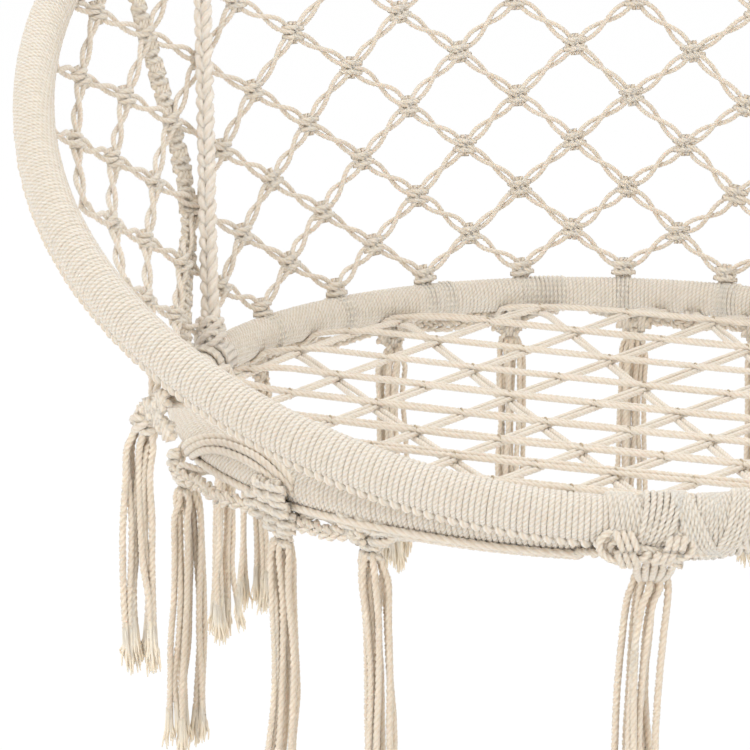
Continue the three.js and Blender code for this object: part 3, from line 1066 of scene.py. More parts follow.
@dataclass(frozen=True)
class Plait:
    """A plait of round strands about a path."""

    strands: int = 4
    strand: float = 0.0032
    width: float = 0.0040
    depth: float = 0.0027
    period: float = 0.044
    lay: float = 0.030

    def add_to(self, bundle: Bundle, spine: Points, normal: Points) -> None:
        """Add the plait along a spine.

        Args:
            bundle: What the strands are added to.
            spine: The plait's centre line.
            normal: The direction that the plait's face looks in.
        """
        centre = even(smooth(spine), 0.0022)
        runs, heading = runs_along(centre), headings(centre)
        aside = np.cross(heading, normal)
        aside /= np.linalg.norm(aside, axis=1)[:, None]
        face = np.cross(aside, heading)
        rng = np.random.default_rng(self.strands)
        for i in range(self.strands):
            drift = np.interp(runs, np.linspace(0, runs[-1], 24), rng.normal(0, 0.22, 24))
            swing = runs / self.period * TAU + i / self.strands * TAU + drift
            sway = self.width * np.sin(swing)
            sink = self.depth * np.sin(2 * swing)
            path = centre + sway[:, None] * aside + sink[:, None] * face
            bundle.add(path, self.strand, self.lay, phase=float(i))


ROPE_PLAIT = Plait()


@dataclass
class SeatRope:
    """The light plaited rope from the seat hoop up to the back hoop, knotted round both."""

    side: int
    foot: float = 74.0
    head: float = 49.5
    hitches: tuple[float, ...] = (-1.5, -0.9, -0.3, 0.3, 0.9, 1.5)
    knots: tuple[tuple[float, float], ...] = ((-0.001, 0.0092), (0.010, 0.0082))

    def build(self, material: bpy.types.Material, name: str) -> None:
        """Make the rope with its hitches.

        Args:
            material: The rope's cotton.
            name: The word for its side.
        """
        bundle = Bundle(f"seat_rope_plait_{name}", SOFT_SECTION)
        low = SEAT_HOOP.around(self.side * self.foot, 90, 0.016)
        high = BACK_HOOP.around(self.side * self.head, -110, 0.017)
        spine = np.array([low, (low + high) / 2, high])
        ROPE_PLAIT.add_to(bundle, spine, np.array([0.35 * self.side, -1, 0.1]))
        for hoop, angle in ((SEAT_HOOP, self.foot), (BACK_HOOP, self.head)):
            for k in self.hitches:
                path = hoop.loop(self.side * angle + k, 0.0024, 90.0, 0.25)
                bundle.add(path, 0.0025, 0.016)
        axis = unit(high - low)
        for rise, radius in self.knots:
            TurksHead(radius, 0.0027, 5).add_to(bundle, low + rise * axis, axis)
        cross_fold(bundle.build(Slot.ROPE, material, f"seat_rope_{name}"))


@dataclass(frozen=True)
class TurksHead:
    """A woven ring knot round a rope."""

    radius: float
    cord: float
    bights: int = 4

    def add_to(self, bundle: Bundle, centre: Points, axis: Points) -> None:
        """Add the knot.

        Args:
            bundle: What its cord is added to.
            centre: The knot's middle.
            axis: The direction of the rope through it.
        """
        helper = np.array([0.3, 1.0, 0.2])
        first = unit(np.cross(axis, helper))
        second = np.cross(axis, first)
        turn = np.linspace(0, 3 * TAU, 96)
        wave = turn * self.bights / 3
        reach = self.radius * (1 + 0.16 * np.cos(wave))
        rise = self.radius * 0.62 * np.sin(wave)
        path = centre + np.outer(reach * np.cos(turn), first) + np.outer(reach * np.sin(turn), second)
        path += np.outer(rise, axis)
        bundle.add(even(path, 0.002), self.cord, 0.014)
        ends = [centre + k * self.radius * 0.5 * axis for k in (-1, 0, 1)]
        bundle.add(np.array(ends), self.radius * 0.82)


@dataclass
class SideStay:
    """The sinnet of square knots that runs down through the side of the net."""

    side: int
    pitch: float = 0.0082
    ends: tuple[tuple[Hoop, float], ...] = ((SEAT_HOOP, 78.4), (BACK_HOOP, 65.0))
    hitches: tuple[float, ...] = (-0.6, 0.0, 0.6)
    knot: SquareKnot = SquareKnot(1.25, CordStyle(0.0023, 0.013, 0.002))

    @staticmethod
    def angle_at(share: float) -> float:
        """Return the stay's angle on the net at that share of the way up."""
        return float(np.interp(share, [0.0, 0.1, 0.2, 0.32, 0.45], [81.0, 79.0, 72.0, 66.0, 64.0]))

    def spine(self) -> Points:
        """Return the stay's centre line.

        Returns:
            The places of its knots, from the seat hoop up.
        """
        points = []
        for share in (0.06, 0.1, 0.2, 0.32, 0.45, 0.6, 0.75, 0.9, 0.955):
            angle = self.angle_at(share)
            lift = -0.004 * min(1.0, (1 - share) / share)
            points.append(NET.point(self.side * angle, share * NET.length(angle), lift))
        return even(smooth(np.array(points)), self.pitch)

    def build(self, material: bpy.types.Material, name: str) -> None:
        """Make the sinnet with its hitches.

        Args:
            material: The sinnet's cotton.
            name: The word for its side.
        """
        rng = np.random.default_rng(17)
        bundle = Bundle(f"side_stay_sinnet_{name}")
        spine = self.spine()
        for i, (place, heading) in enumerate(zip(spine, np.gradient(spine, axis=0))):
            up = unit(heading)
            face = unit(np.array([-self.side * 0.8, -0.6, 0.2])) + rng.normal(0, 0.12, 3)
            across = unit(np.cross(up, face))
            self.knot.add_to(bundle, place, across if i % 2 else -across, up)
        for hoop, angle in self.ends:
            for k in self.hitches:
                bundle.add(hoop.loop(self.side * angle + k, 0.0020, 60.0, 0.3), 0.0021, 0.014)
        cross_fold(bundle.build(Slot.NET, material, f"side_stay_{name}"))


@dataclass
class Suspension:
    """The four ropes, the crown that gathers them, its whipping, and the eye on the ring."""

    hang: tuple[float, float, float] = (0.0, 0.0196, 1.150)
    crown_drop: float = 0.096
    crown_length: float = 0.064
    spread: float = 0.0066
    plait: Plait = ROPE_PLAIT
    places: tuple[tuple[str, float, int], ...] = (("front", 76.0, -1), ("rear", 46.0, 1))
    hitches: tuple[float, ...] = (-0.8, -0.27, 0.27, 0.8)
    crown_reach: tuple[float, ...] = (0.0130, 0.0150, 0.0120, 0.0080)
    crown_core: float = 0.0105
    whipping: tuple[int, float] = (4, 0.010)
    wire_drop: float = 0.048
    eye_reach: float = 0.010
    eye_cord: float = 0.0055
    eye_pitch: float = 0.0031
    eye_lay: float = 0.0080

    @property
    def foot(self) -> float:
        """The height of the crown's lower end."""
        return self.hang[2] - self.crown_drop - self.crown_length

    def ropes(self, material: bpy.types.Material) -> None:
        """Make the four plaited ropes.

        Args:
            material: The ropes' cotton.
        """
        for side, name in SIDES:
            for kind, angle, depth in self.places:
                bundle = Bundle(f"{kind}_rope_plait_{name}", SOFT_SECTION)
                head = np.array([side * self.spread, self.hang[1] + depth * self.spread, self.foot - 0.001])
                base = BACK_HOOP.point(side * angle)
                base = base + 0.0165 * unit(head - base)
                spine = np.array([base, (base + head) / 2, head])
                self.plait.add_to(bundle, spine, np.array([side, -0.8, 0.2]))
                for k in self.hitches:
                    bundle.add(BACK_HOOP.loop(side * angle + k, 0.0026, 90.0, 0.2), 0.0025, 0.016)
                bundle.build(Slot.ROPE, material, f"{kind}_rope_{name}", Body.CHAIR.value)

    def crown(self, light: Tone, dark: Tone, rope: bpy.types.Material) -> None:
        """Make the served crown and the turns of its whipping.

        Args:
            light: The serving's tone where it is palest.
            dark: Its tone where it is darkest.
            rope: The cotton of the whipping.
        """
        depth, foot, whole = self.hang[1], self.foot, self.crown_length
        turns, steps = int(whole / WINDING_PITCH), 24
        rise = np.linspace(0, whole, turns * steps + 1)
        reach = np.interp(rise, [0, 0.005, whole - 0.006, whole], self.crown_reach)
        turn = rise / WINDING_PITCH * TAU
        path = np.column_stack([reach * np.cos(turn), depth + reach * np.sin(turn), foot + rise])
        finish = Cotton("wound_cotton_crown", light, dark, twists=length_of(path) / WINDING_LAY)
        bundle = Bundle("crown_serving", Section(7, 0))
        bundle.add(path, 0.0019)
        core = np.array([[0, depth, foot + 0.001], [0, depth, foot + whole - 0.001]])
        bundle.add(even(core, 0.004), self.crown_core)
        bundle.build(Slot.ROPE, finish.make(), "rope_crown", Body.CHAIR.value)
        self._whipping(rope)

    def _whipping(self, material: bpy.types.Material) -> None:
        """Make the four spaced turns round the crown, with a doubled cord.

        Args:
            material: The whipping's cotton.
        """
        turns, pitch = self.whipping
        turn = np.linspace(0, turns * TAU, turns * 40)
        rise = (self.crown_length - turns * pitch) / 2 + turn / TAU * pitch
        reach = 0.0172 - (0.004 / self.crown_length) * rise + 0.0021
        bundle = Bundle("crown_whipping_cord")
        for shift in (-0.0017, 0.0017):
            height = self.foot + rise + shift
            path = np.column_stack([reach * np.cos(turn), self.hang[1] + reach * np.sin(turn), height])
            bundle.add(path, 0.0017, 0.012)
        bundle.build(Slot.ROPE, material, "crown_whipping", Body.CHAIR.value)

    def eye(self, light: Tone, dark: Tone) -> None:
        """Make the eye: a served loop round the foot of the ring.

        Args:
            light: The serving's tone where it is palest.
            dark: Its tone where it is darkest.
        """
        _, depth, height = self.hang
        wire = height - self.wire_drop
        reach, cord = self.eye_reach, self.eye_cord
        foot = height - self.crown_drop + cord + 0.0003
        mid = (wire + foot) / 2
        spin = np.linspace(0, math.pi, 9)
        arch = [[0, depth + reach * math.cos(s), wire + reach * math.sin(s)] for s in spin]
        turns = ((-0.0093, mid), (-0.0055, foot), (0.0055, foot), (0.0093, mid))
        legs = [[0, depth + across, rise] for across, rise in turns]
        spine = even(smooth(np.array([*arch, *legs, arch[0]])), 0.00025)[:-1]
        turns = int(length_of(spine) / self.eye_pitch)
        turn = np.linspace(0, turns * TAU, len(spine), endpoint=False)
        across = np.array([1.0, 0, 0])
        arm = np.cos(turn)[:, None] * across + np.sin(turn)[:, None] * np.cross(headings(spine), across)
        bundle = Bundle("eye_serving", Section(6, 0))
        wound = spine + (cord - 0.0015) * arm
        bundle.add(wound, 0.0016, closed=True)
        bundle.add(spine[::4], cord - 0.0021, closed=True)
        finish = Cotton("wound_cotton_eye", light, dark, twists=length_of(wound) / self.eye_lay)
        bundle.build(Slot.ROPE, finish.make(), "rope_eye", Body.EYE.value)


@dataclass
class FrontLashing:
    """The cords that bind the two hoops at the front, wound out and back so that they cross in a V."""

    passes: tuple[tuple[int, float, float, float, tuple[float, ...]], ...] = (
        (23, -0.039, 0.039, 0.0146, (0.0, 0.0035, 0.0070, -0.002, -0.0075, -0.003, 0.003, 0.006)),
        (6, -0.024, -0.006, 0.0162, (-0.006, -0.011)),
        (5, 0.004, 0.018, 0.0162, (0.007, 0.012)),
        (4, 0.024, 0.036, 0.0162, (-0.009, -0.006)),
    )
    cord: float = 0.0019

    def _path(self, laps: int, start: float, end: float, reach: float, leans: tuple[float, ...]) -> Points:
        """Return one pass of laps round both hoops.

        Args:
            laps: How many laps it makes.
            start: Where along the hoops it starts, in metres.
            end: Where it ends.
            reach: The distance from either tube's centre.
            leans: How far its laps lean along the hoops, from the first to the last.

        Returns:
            The cord's points.
        """
        points = []
        for turn in np.arange(0, laps, 1 / 44):
            share = turn / laps
            lean = float(np.interp(share, np.linspace(0, 1, len(leans)), leans))
            x = start + (end - start) * share + lean * math.cos(TAU * (turn % 1))
            seat = SEAT_HOOP.point(180 - math.degrees(math.asin(x / SEAT_HOOP.radius)))
            back = BACK_HOOP.point(180 - math.degrees(math.asin(x / BACK_HOOP.radius)))
            points.append(self._lap(seat, back, turn % 1, reach))
        return np.array(points)

    @staticmethod
    def _lap(seat: Points, back: Points, place: float, reach: float) -> Points:
        """Return one point of a lap round the two tubes.

        Args:
            seat: The seat hoop's tube centre there.
            back: The back hoop's tube centre there.
            place: The share of the lap that has been run, from zero to one.
            reach: The distance from either centre.

        Returns:
            The point.
        """
        span = float(np.linalg.norm(back - seat))
        across = (back - seat) / span
        side = np.array([0, -across[2], across[1]])
        arc = math.pi * reach
        run = place * (2 * arc + 2 * span)
        if run < arc:
            return seat + reach * (math.cos(run / reach) * side - math.sin(run / reach) * across)
        if run < arc + span:
            return seat - reach * side + (run - arc) * across
        if run < 2 * arc + span:
            angle = (run - arc - span) / reach
            return back + reach * (-math.cos(angle) * side + math.sin(angle) * across)
        return back + reach * side - (run - 2 * arc - span) * across

    def build(self, material: bpy.types.Material) -> None:
        """Make all passes of the lashing.

        Args:
            material: The lashing's cotton.
        """
        bundle = Bundle("front_lashing_cord")
        for steps in self.passes:
            bundle.add(even(self._path(*steps), 0.0022), self.cord, 0.012)
        lashing = bundle.build(Slot.HOOP, material, "front_lashing")
        ends = [tuple(SEAT_CENTRE + hoop.point(180)) for hoop in (SEAT_HOOP, BACK_HOOP)]
        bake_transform(lashing)


KnotRows = tuple[tuple[int, float, float], ...]

# The solid knot over a tassel: its radius, how far down its lowest corners lie as a share of
# that, and the gap between it and the tassel.
KNOT_RADIUS, LOWEST_CORNER, FREE_GAP = 0.0095, 0.8507, 0.0003


@dataclass(frozen=True)
class Hang:
    """Where one tassel hangs."""

    hoop: Hoop
    angle: float
    drop: float = 0.027
    spread: float = 5.5
    length: float = 0.214
    shift: float = 0.0
    rise: float = -0.005
    lead: float = 0.0
    rows: KnotRows = ((1, 0, 0), (2, 0.0025, 0), (3, 0.0065, 0))

    @property
    def in_front(self) -> bool:
        """Whether this is the front tassel's place."""
        return abs(self.angle) > 170

    @property
    def outward(self) -> Points:
        """The level direction away from the hoop's centre."""
        return unit(self.hoop.outward(self.angle) * [1, 1, 0])

    @property
    def knot(self) -> Points:
        """The middle of the knot that the tassel hangs from."""
        return self.hoop.point(self.angle) + self.shift * self.outward + self.drop * DOWN

    @property
    def pivot(self) -> Points:
        """The top of the tassel."""
        return self.knot + (KNOT_RADIUS * LOWEST_CORNER + FREE_GAP) * DOWN

    @property
    def top(self) -> Points:
        """The place where the tassel's cords come together, near its pivot."""
        return self.pivot + self.rise * UP + self.lead * self.outward


@dataclass
class Fringe:
    """The knotted skirt under the hoops, the chains between its knots, and the tassels."""

    cotton: bpy.types.Material
    knotted: bpy.types.Material
    yarn: bpy.types.Material
    angles: tuple[float, ...] = (145, 130.5, 110, 70, 58, 30, 10)
    shifts: tuple[float, ...] = (0, 0, 0.014, 0, 0, 0, 0)
    front_count: int = 3
    wide_rows: KnotRows = (
        (1, 0, 0), (2, 0.002, 0.001), (3, 0.0095, 0.004), (3, 0.0180, 0.008), (2, 0.0195, 0.012),
    )
    chain_rows: KnotRows = ((1, 0, 0), (1, 0.0025, 0), (1, 0.0065, 0))
    knot: SquareKnot = SquareKnot(1.15, CordStyle(0.0024, 0.014, 0.0018), True, 1.5)
    step: tuple[float, float] = (0.0125, 0.0098)
    chain: Plait = Plait(3, 0.0022, 0.0034, 0.0020, 0.025, 0.013)
    thick: CordStyle = CordStyle(0.0027, 0.019, 0.0022)
    carried_angles: tuple[float, ...] = (108, 111, 114, 118, 122, 127, 131, 135.5)
    carried_turns: tuple[float, ...] = (-62, -30, 0, 34, 54, 58, 48, 12)
    carried_lifts: tuple[float, ...] = (-0.001, 0.002, 0.0025, 0.0025, 0.0025, 0.0025, 0.0025, -0.001)
    strands: tuple[tuple[float, float], ...] = (
        (-2.2, 0), (-1.3, -1.3), (-1.2, 1.2), (0, 0), (0.1, -2), (0.2, 2), (1.2, -0.9), (1.3, 1), (2.3, 0.1),
    )
    falls: tuple[float, ...] = (-0.004, -0.001, 0.006, 0.016, 0.040, 0.075, 0.110, 0.140)
    widths: tuple[float, ...] = (0.45, 0.78, 0.98, 1.0, 0.9, 0.86, 0.92, 1.0, 1.06)

    def _cluster(self, bundle: Bundle, hang: Hang, rng: np.random.Generator) -> None:
        """Add the triangle of knots that narrows from the hoop to the tassel, with its cords.

        Args:
            bundle: What the cords are added to.
            hang: The place of the tassel.
            rng: The source of small differences.
        """
        along, down = hang.hoop.along(hang.angle), DOWN
        ahead = -along if hang.angle < 0 else along
        foot = hang.top - 0.0055 * down
        for row, (count, out, forward) in enumerate(hang.rows):
            for k in range(count):
                spot = foot - row * self.step[1] * down + (k - (count - 1) / 2) * self.step[0] * along
                spot = spot + hang.outward * out + ahead * forward + rng.normal(0, 0.0006, 3)
                tilt = rng.normal(0, 0.16)
                self.knot.add_to(bundle, spot, unit(-along + tilt * down), unit(-down + tilt * along))
        for leg in (-1, 1):
            for k in range(3):
                angle = hang.angle + leg * (hang.spread * 1.25 - 1.2 * k)
                reach = hang.hoop.tube + np.array([0, 0.0018, 0.0022])
                wrap = hang.hoop.around(angle, np.array([-112, -92, -74]), reach)
                inner = foot - (1.9 - k * 0.55) * self.step[1] * down + leg * (0.0125 - 0.0035 * k) * along
                inner = inner + hang.outward * 0.006
                middle = (wrap[-1] + inner) / 2 + 0.002 * down + rng.normal(0, 0.0008, 3)
                end = foot - 0.3 * self.step[1] * down + leg * 0.003 * along
                bundle.cord(np.vstack([wrap, middle, inner, end]), FRINGE_CORD, phase=float(k))

    def _chain(self, bundle: Bundle, start: Hang, end: Hang, rng: np.random.Generator) -> None:
        """Add the plaited chain that runs between two tassels' knots.

        Args:
            bundle: What its strands are added to.
            start: The place of the first tassel.
            end: The place of the next one.
            rng: The source of small differences.
        """
        share = np.linspace(0, 1, 9)
        angle = start.angle + (end.angle - start.angle) * share
        shift = start.shift + (end.shift - start.shift) * share
        out = start.hoop.outward(angle) * [1, 1, 0]
        line = start.hoop.point(angle) + (shift + 0.006)[:, None] * out + rng.normal(0, 0.0013, (9, 3))
        line[:, 2] -= 0.0205 + 4 * 0.003 * share * (1 - share)
        self.chain.add_to(bundle, line, start.outward)

    def _carried(self, bundle: Bundle, start: float, end: float) -> None:
        """Add the thick twisted cords that the seat hoop carries along its under side.

        Args:
            bundle: What the cords are added to.
            start: The angle where they start.
            end: The angle where they end.
        """
        angle = np.linspace(start, end, 60)
        for k in range(3):
            turn = -46 - 21 * k + 5 * np.sin(np.radians(angle * (9 + 2 * k)))
            reach = SEAT_HOOP.tube + np.where(abs(np.linspace(-1, 1, 60)) > 0.97, -0.002, 0.0021)
            bundle.cord(SEAT_HOOP.around(angle, turn, reach), self.thick, phase=float(k))
        side = math.copysign(1.0, start)
        over, turn = side * np.array(self.carried_angles), np.array(self.carried_turns)
        lift = np.array(self.carried_lifts)
        for k in range(3):
            path = SEAT_HOOP.around(over, turn - 17 * k + 8, SEAT_HOOP.tube + lift + 0.0006 * (k % 2))
            bundle.cord(path, self.thick, phase=1.3 * k)

    def _sling(self, bundle: Bundle, hang: Hang) -> None:
        """Add the band of cords that hangs from the big hoop and carries a side tassel.

        Args:
            bundle: What the cords are added to.
            hang: The place of the tassel.
        """
        side, up = math.copysign(1.0, hang.angle), UP
        ahead = side * hang.hoop.along(hang.angle) * [1, 1, 0]
        heart = hang.knot + (hang.rise - 0.001) * up
        for k in range(6):
            start = hang.angle + side * (1.2 + 1.35 * k)
            reach = hang.hoop.tube + np.array([-0.003, 0.0015, 0.004, 0.008])
            places = start + side * np.array([0, 0, 0, -0.4])
            near = hang.hoop.around(places, np.array([-40, -60, -76, -90]), reach)
            middle = heart + (0.0020 * (k - 1)) * up + 0.0012 * (k - 2.5) * hang.outward
            end = heart - 0.006 * up + 0.0008 * (k - 2.5) * ahead
            bundle.cord(np.vstack([near, middle, end]), FRINGE_CORD, phase=float(k))
        for forward, rise in ((0.009, 0.008), (0.017, 0.005), (0.022, 0.015), (0.026, -0.002)):
            across, tall = unit(ahead + 35 * rise * up), unit(up - 0.3 * ahead)
            spot = heart + forward * ahead + rise * up + 0.003 * hang.outward
            self.knot.add_to(bundle, spot, side * across, tall)
        TurksHead(0.0072, 0.0026).add_to(bundle, heart - 0.003 * up, up)

    def skirt(self, tail: str, hangs: list[Hang], body: Body) -> None:
        """Make one stretch of the skirt.

        Args:
            tail: The last words of its name.
            hangs: The tassels' places along it.
            body: The body that the skirt rides on.
        """
        rng = np.random.default_rng(len(tail))
        bundle = Bundle(f"skirt_knots_{tail}")
        for hang in hangs:
            if hang.hoop is BACK_HOOP:
                self._sling(bundle, hang)
            elif hang.in_front:
                self._bow(bundle, hang)
            else:
                self._cluster(bundle, hang, rng)
        for start, end in zip(hangs, hangs[1:]):
            self._chain(bundle, start, end, rng)
        if len(hangs) == self.front_count:
            self._carried(bundle, hangs[0].angle * 1.18, hangs[-1].angle * 1.03)
        bundle.build(Slot.FRINGE, self.knotted, f"skirt_{tail}", body.value)

    def _bow(self, bundle: Bundle, hang: Hang) -> None:
        """Add the front knot: a bow of loops under bands, its link, its hangers and the drop cords.

        Args:
            bundle: What the cords are added to.
            hang: The place of the front tassel.
        """
        along, out, up = hang.hoop.along(hang.angle), hang.outward, UP
        heart = hang.knot + 0.040 * out + 0.0325 * up
        for leg, reach, wide, tall, loops in ((1, 0.018, 0.0145, 0.0095, 3), (-1, 0.012, 0.0085, 0.0070, 2)):
            for k in range(loops):
                spin = np.linspace(0.25, TAU - 0.25, 15) + math.pi
                middle = heart + leg * reach * along + (0.002 - 0.0008 * k) * up
                loop = middle + np.outer(np.cos(spin) * (wide - 0.0032 * k) * leg, along)
                loop += np.outer(np.sin(spin) * (tall - 0.0026 * k), up)
                loop += np.outer(0.0024 * np.sin(spin / 2 + 2 * k) - 0.0016 * k, out)
                bundle.cord(loop, FRINGE_CORD, phase=float(k))
            for k in (-1, 0, 1):
                band = heart + leg * (reach + 0.0040 * k - 0.003) * along
                spin = np.linspace(0, TAU, 13)
                ring = band + np.outer(np.cos(spin) * 0.0050, out)
                ring += np.outer(np.sin(spin) * (tall + 0.0004), up)
                ring += np.outer(0.0034 * leg * np.sin(spin) + 0.0006 * spin, along)
                bundle.cord(ring, FRINGE_CORD, phase=float(k))
        for k in (-1, 0, 1):
            x = np.array([0.016, 0.004, -0.006, -0.015])
            link = heart + np.outer(x, along) + np.outer(0.0032 * k - 0.004 + 0.2 * x, up) + 0.001 * k * out
            bundle.cord(link, FRINGE_CORD, phase=float(k))
        for leg in (-1, 1):
            for k in range(2):
                angle = hang.angle - leg * (7.5 - 1.5 * k)
                reach = hang.hoop.tube + np.array([0, 0.002, 0.0026])
                wrap = hang.hoop.around(angle, np.array([-70, -52, -36]), reach)
                bend = heart - leg * 0.012 * along - 0.006 * up - 0.008 * out
                bundle.cord(np.vstack([wrap, bend, heart]), FRINGE_CORD)
        for k in range(-2, 3):
            low = hang.top + 0.0026 * k * along - 0.004 * up
            bend = (heart + low) / 2 + 0.0035 * k * along + 0.004 * out - 0.002 * up
            bundle.cord(np.array([heart + 0.005 * k * along, bend, low]), FRINGE_CORD, phase=float(k))

    def tassel(self, tail: str, hang: Hang) -> None:
        """Make one tassel of loose cords with frayed ends.

        Args:
            tail: The last words of its name.
            hang: Where it hangs.
        """
        node = f"tassel_{tail}"
        rng = np.random.default_rng(sum(map(ord, node)))
        bundle = Bundle(f"tassel_cords_{tail}")
        frays = Bundle(f"tassel_frays_{tail}", Section(5, 0))
        top = hang.top
        foot = hang.hoop.point(hang.angle)[2] - hang.length
        along, out = hang.hoop.along(hang.angle), hang.outward
        lean = rng.normal(0, 0.0035, 2)
        wave = 0.0026 * np.sin(np.linspace(0, rng.uniform(4.0, 7.0), 9)[:, None] + rng.uniform(0, TAU, 2))
        wave = (wave - wave[0]) * np.linspace(0.2, 1, 9)[:, None]
        wide = 0.0045 if hang.in_front else 0.0039
        for a, b in self.strands:
            side = a * along + b * out
            end = foot + rng.uniform(0.004, 0.016)
            fall = np.array(self.falls) * min(1.0, (top[2] - end) / 0.172)
            heights = np.append(top[2] - fall, end)
            reach = np.array(self.widths) * wide
            sway = np.cumsum(rng.normal(0, 0.0011, (9, 2)), axis=0)
            sway[:3] *= 0.3
            drift = np.linspace(0, 1, 9)[:, None] ** 1.4 * lean
            path = np.column_stack([top[:2] + reach[:, None] * side[:2] + sway + drift + wave, heights])
            bundle.cord(path, FRINGE_CORD, phase=rng.uniform(0, TAU))
            self._fray(frays, path[-1], unit(path[-1] - path[-2]), rng)
        bundle.build(Slot.FRINGE, self.cotton, node, node)
        frays.build(Slot.FRINGE, self.yarn, body=node)

    @staticmethod
    def _fray(bundle: Bundle, tip: Points, heading: Points, rng: np.random.Generator) -> None:
        """Add the loose yarns at a cut end.

        Args:
            bundle: What the yarns are added to.
            tip: The end of the cord.
            heading: The cord's direction there.
            rng: The source of differences from yarn to yarn.
        """
        for _ in range(YARNS_PER_CORD):
            turn, rise = rng.uniform(0, TAU), rng.uniform(0.002, 0.013)
            side = np.array([math.cos(turn), math.sin(turn), 0])
            reach, drop = rng.uniform(0.0002, 0.0044), rng.uniform(0.010, 0.022)
            path = np.array([
                tip + side * 0.0010 - heading * rise,
                tip + side * (0.0013 + reach * 0.2) + heading * drop * 0.3,
                tip + side * (0.0012 + reach * 0.7) + heading * drop * 0.65 + rng.normal(0, 0.0005, 3),
                tip + side * (0.0008 + reach) + heading * drop,
            ])
            bundle.add(smooth(path, 2), np.linspace(0.0015, 0.0004, 7))

    def build(self) -> None:
        """Make the whole fringe."""
        front = Hang(SEAT_HOOP, -178.0, 0.030, 9.5, rise=0.0135, lead=0.007)
        self.skirt("front", [front], Body.SEAT)
        self.tassel("front", front)
        for side, name in SIDES:
            hangs = [Hang(SEAT_HOOP, side * a, shift=s) for a, s in zip(self.angles, self.shifts)]
            hangs[0] = replace(hangs[0], rise=-0.001)
            hangs[1] = replace(hangs[1], rise=-0.0105, rows=self.wide_rows)
            hangs[2] = replace(hangs[2], rows=self.chain_rows)
            first, rest = hangs[: self.front_count], hangs[self.front_count:]
            self.skirt(f"{name}_front", first, Body.SEAT)
            self.skirt(f"{name}_rear", rest, Body.SEAT)
            high = Hang(BACK_HOOP, side * 129.0, 0.044, length=0.210, rise=-0.008)
            self.skirt(f"{name}_side", [high], Body.CHAIR)
            self.tassel(f"{name}_side", high)
            for i, hang in enumerate(hangs):
                self.tassel(f"{name}_{i + 1}", hang)


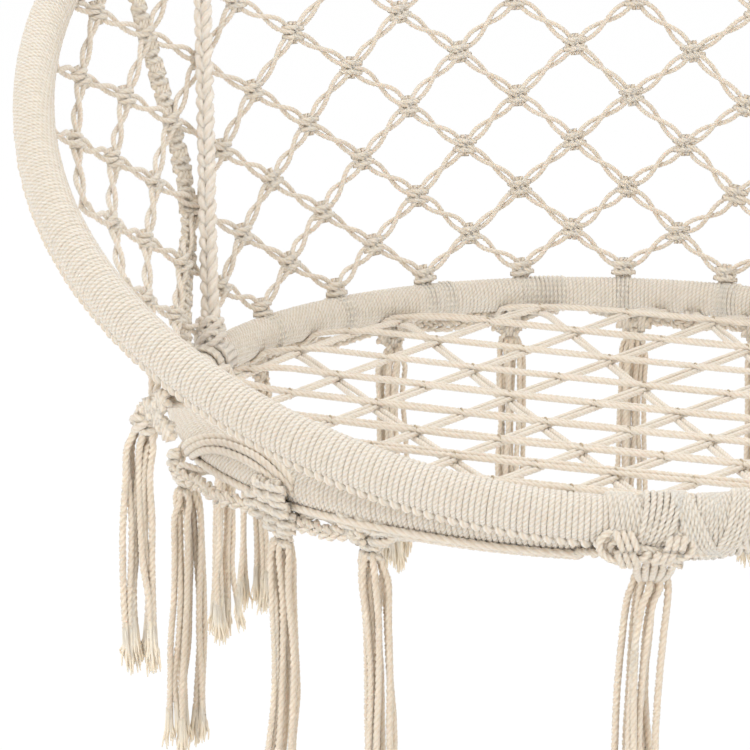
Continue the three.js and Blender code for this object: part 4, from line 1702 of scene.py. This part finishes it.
@dataclass
class Studio:
    """The floor, the light and the camera."""

    floor_drop: float = 0.46
    camera_place: tuple[float, float, float] = (-0.1824, -1.5512, 0.4363)
    camera_turn: tuple[float, float] = (0.54956, -15.30543)
    focal_pixels: float = 2277.2
    photo_pixels: int = 750
    sensor: float = 36.0
    lamps: tuple[tuple[str, tuple[float, float, float], float, float], ...] = (
        ("key", (-1.7, -2.2, 1.7), 2.0, 22.0),
        ("fill", (2.2, -1.4, 0.2), 2.6, 10.0),
        ("top", (0.2, 0.6, 1.9), 2.0, 14.0),
    )

    def floor(self) -> None:
        """Make a pale floor that the camera sees as white away from the chair's shadow."""
        shape = bmesh.new()
        bmesh.ops.create_grid(shape, x_segments=2, y_segments=2, size=12.0)
        place = Vector(SEAT_CENTRE) - Vector((0, 0, self.floor_drop))
        bmesh.ops.translate(shape, verts=shape.verts, vec=place)
        mesh = bpy.data.meshes.new("floor")
        shape.to_mesh(mesh)
        shape.free()
        material = bpy.data.materials.new("floor_white")
        graph = ShaderGraph(material)
        path = graph.node("ShaderNodeLightPath")
        speckle = graph.noise(35.0, 2.0)
        pale = graph.mix(speckle, linear(250, 250, 250), linear(253, 253, 253))
        plain = graph.node("ShaderNodeBsdfPrincipled", {}, {"Base Color": pale, "Roughness": 0.9})
        glow = graph.node("ShaderNodeEmission", {}, {"Color": (1, 1, 1, 1), "Strength": 1.0})
        seen = path.out("Is Camera Ray") + path.out("Is Glossy Ray") + path.out("Is Transmission Ray")
        links = {0: seen.over(0.0, 1.0) * 0.9, 1: plain.out("BSDF"), 2: glow.out("Emission")}
        graph.surface("ShaderNodeMixShader", "ShaderNodeOutputMaterial", links)
        mesh.materials.append(material)
        linked("floor", mesh)

    def lights(self) -> None:
        """Set the world and the soft lamps."""
        world = bpy.data.worlds.new("studio")
        bpy.context.scene.world = world
        graph = ShaderGraph(world)
        links = {"Color": (1, 1, 1, 1), "Strength": 1.0}
        graph.surface("ShaderNodeBackground", "ShaderNodeOutputWorld", links)
        for lamp in self.lamps:
            self._lamp(*lamp)

    @staticmethod
    def _lamp(name: str, place: tuple[float, float, float], size: float, watts: float) -> None:
        """Add a square area lamp that looks at the seat.

        Args:
            name: Its name.
            place: Where it stands from the seat's centre, in metres.
            size: The length of its side.
            watts: Its power.
        """
        data = bpy.data.lights.new(name, "AREA")
        data.size = size
        data.energy = watts
        lamp = linked(name, data)
        lamp.location = Vector(SEAT_CENTRE) + Vector(place)
        lamp.rotation_euler = (-Vector(place)).to_track_quat("-Z", "Y").to_euler()

    def camera(self) -> None:
        """Place the camera that was fitted to the photograph."""
        data = bpy.data.cameras.new("camera")
        data.sensor_width = self.sensor
        data.lens = self.sensor * self.focal_pixels / self.photo_pixels
        data.clip_start = 0.02
        camera = linked("camera", data)
        camera.location = Vector(SEAT_CENTRE) + Vector(self.camera_place)
        yaw, pitch = self.camera_turn
        camera.rotation_euler = (math.radians(90 + pitch), 0, math.radians(-yaw))
        bpy.context.scene.camera = camera
        bpy.context.scene.view_settings.view_transform = "Standard"


def dress_steel() -> None:
    """Give the steel pieces that stay as they are their finish."""
    finishes = {
        "hanging_ring": Steel("zinc_ring", (196, 199, 203), 0.22).make(),
        "back_hoop": Steel("zinc_tube", (182, 185, 188), 0.3).make(),
    }
    finishes["seat_hoop"] = finishes["back_hoop"]
    for node, material in finishes.items():
        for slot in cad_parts[node].material_slots:
            slot.material = material


def main() -> None:
    """Build the chair piece by piece."""
    logging.basicConfig(level=logging.INFO, format="%(message)s")
    studio = Studio()
    studio.camera()
    studio.floor()
    studio.lights()
    dress_steel()
    pale, cream = (230, 223, 212), (219, 209, 194)
    tan, wheat = (240, 230, 216), (224, 211, 192)
    # How much painted shade darkens the grooves between plies is set for each cotton below.
    hoop = Cotton("hoop_cotton_cord", pale, cream).make()
    rope = Cotton("rope_cotton_cord", (235, 227, 216), (223, 212, 196), groove_shade_share=0.2).make()
    net = Cotton("net_cotton_cord", tan, wheat, groove_shade_share=0.34).make()
    fringe = Cotton("fringe_cotton_cord", (241, 228, 210), (225, 208, 186), groove_shade_share=0.32).make()
    yarn = Cotton("fringe_cotton_yarn", (241, 228, 208), (227, 212, 189), groove_shade_share=0.1).make()
    tie = Cotton("tie_cotton_cord", (243, 234, 220), (230, 218, 200), groove_shade_share=0.3).make()
    # The stitches' dark yarn is painted shade in the slits where the net's cords are bound.
    painted_shade_stitch = Cotton("stitch_cotton_painted_shade", (190, 174, 148), (154, 138, 112)).make()
    for winding in (
        WoundHoop("back_hoop_winding", BACK_HOOP, Body.CHAIR, "back_hoop_wrap", -38.0),
        WoundHoop("seat_hoop_winding", SEAT_HOOP, Body.SEAT, "seat_hoop_wrap"),
    ):
        winding.build(pale, cream)
        if winding.row_turn is not None:
            winding.hitches(hoop)
    FrontLashing().build(hoop)
    SeatNet().build(net, painted_shade_stitch)
    BackNet().build(net, tie)
    for side, name in SIDES:
        SeatRope(side).build(rope, name)
        SideStay(side).build(net, name)
    suspension = Suspension()
    suspension.ropes(rope)
    suspension.crown(pale, cream, rope)
    suspension.eye(pale, cream)
    Fringe(fringe, net, yarn).build()


if __name__ == "__main__":
    main()
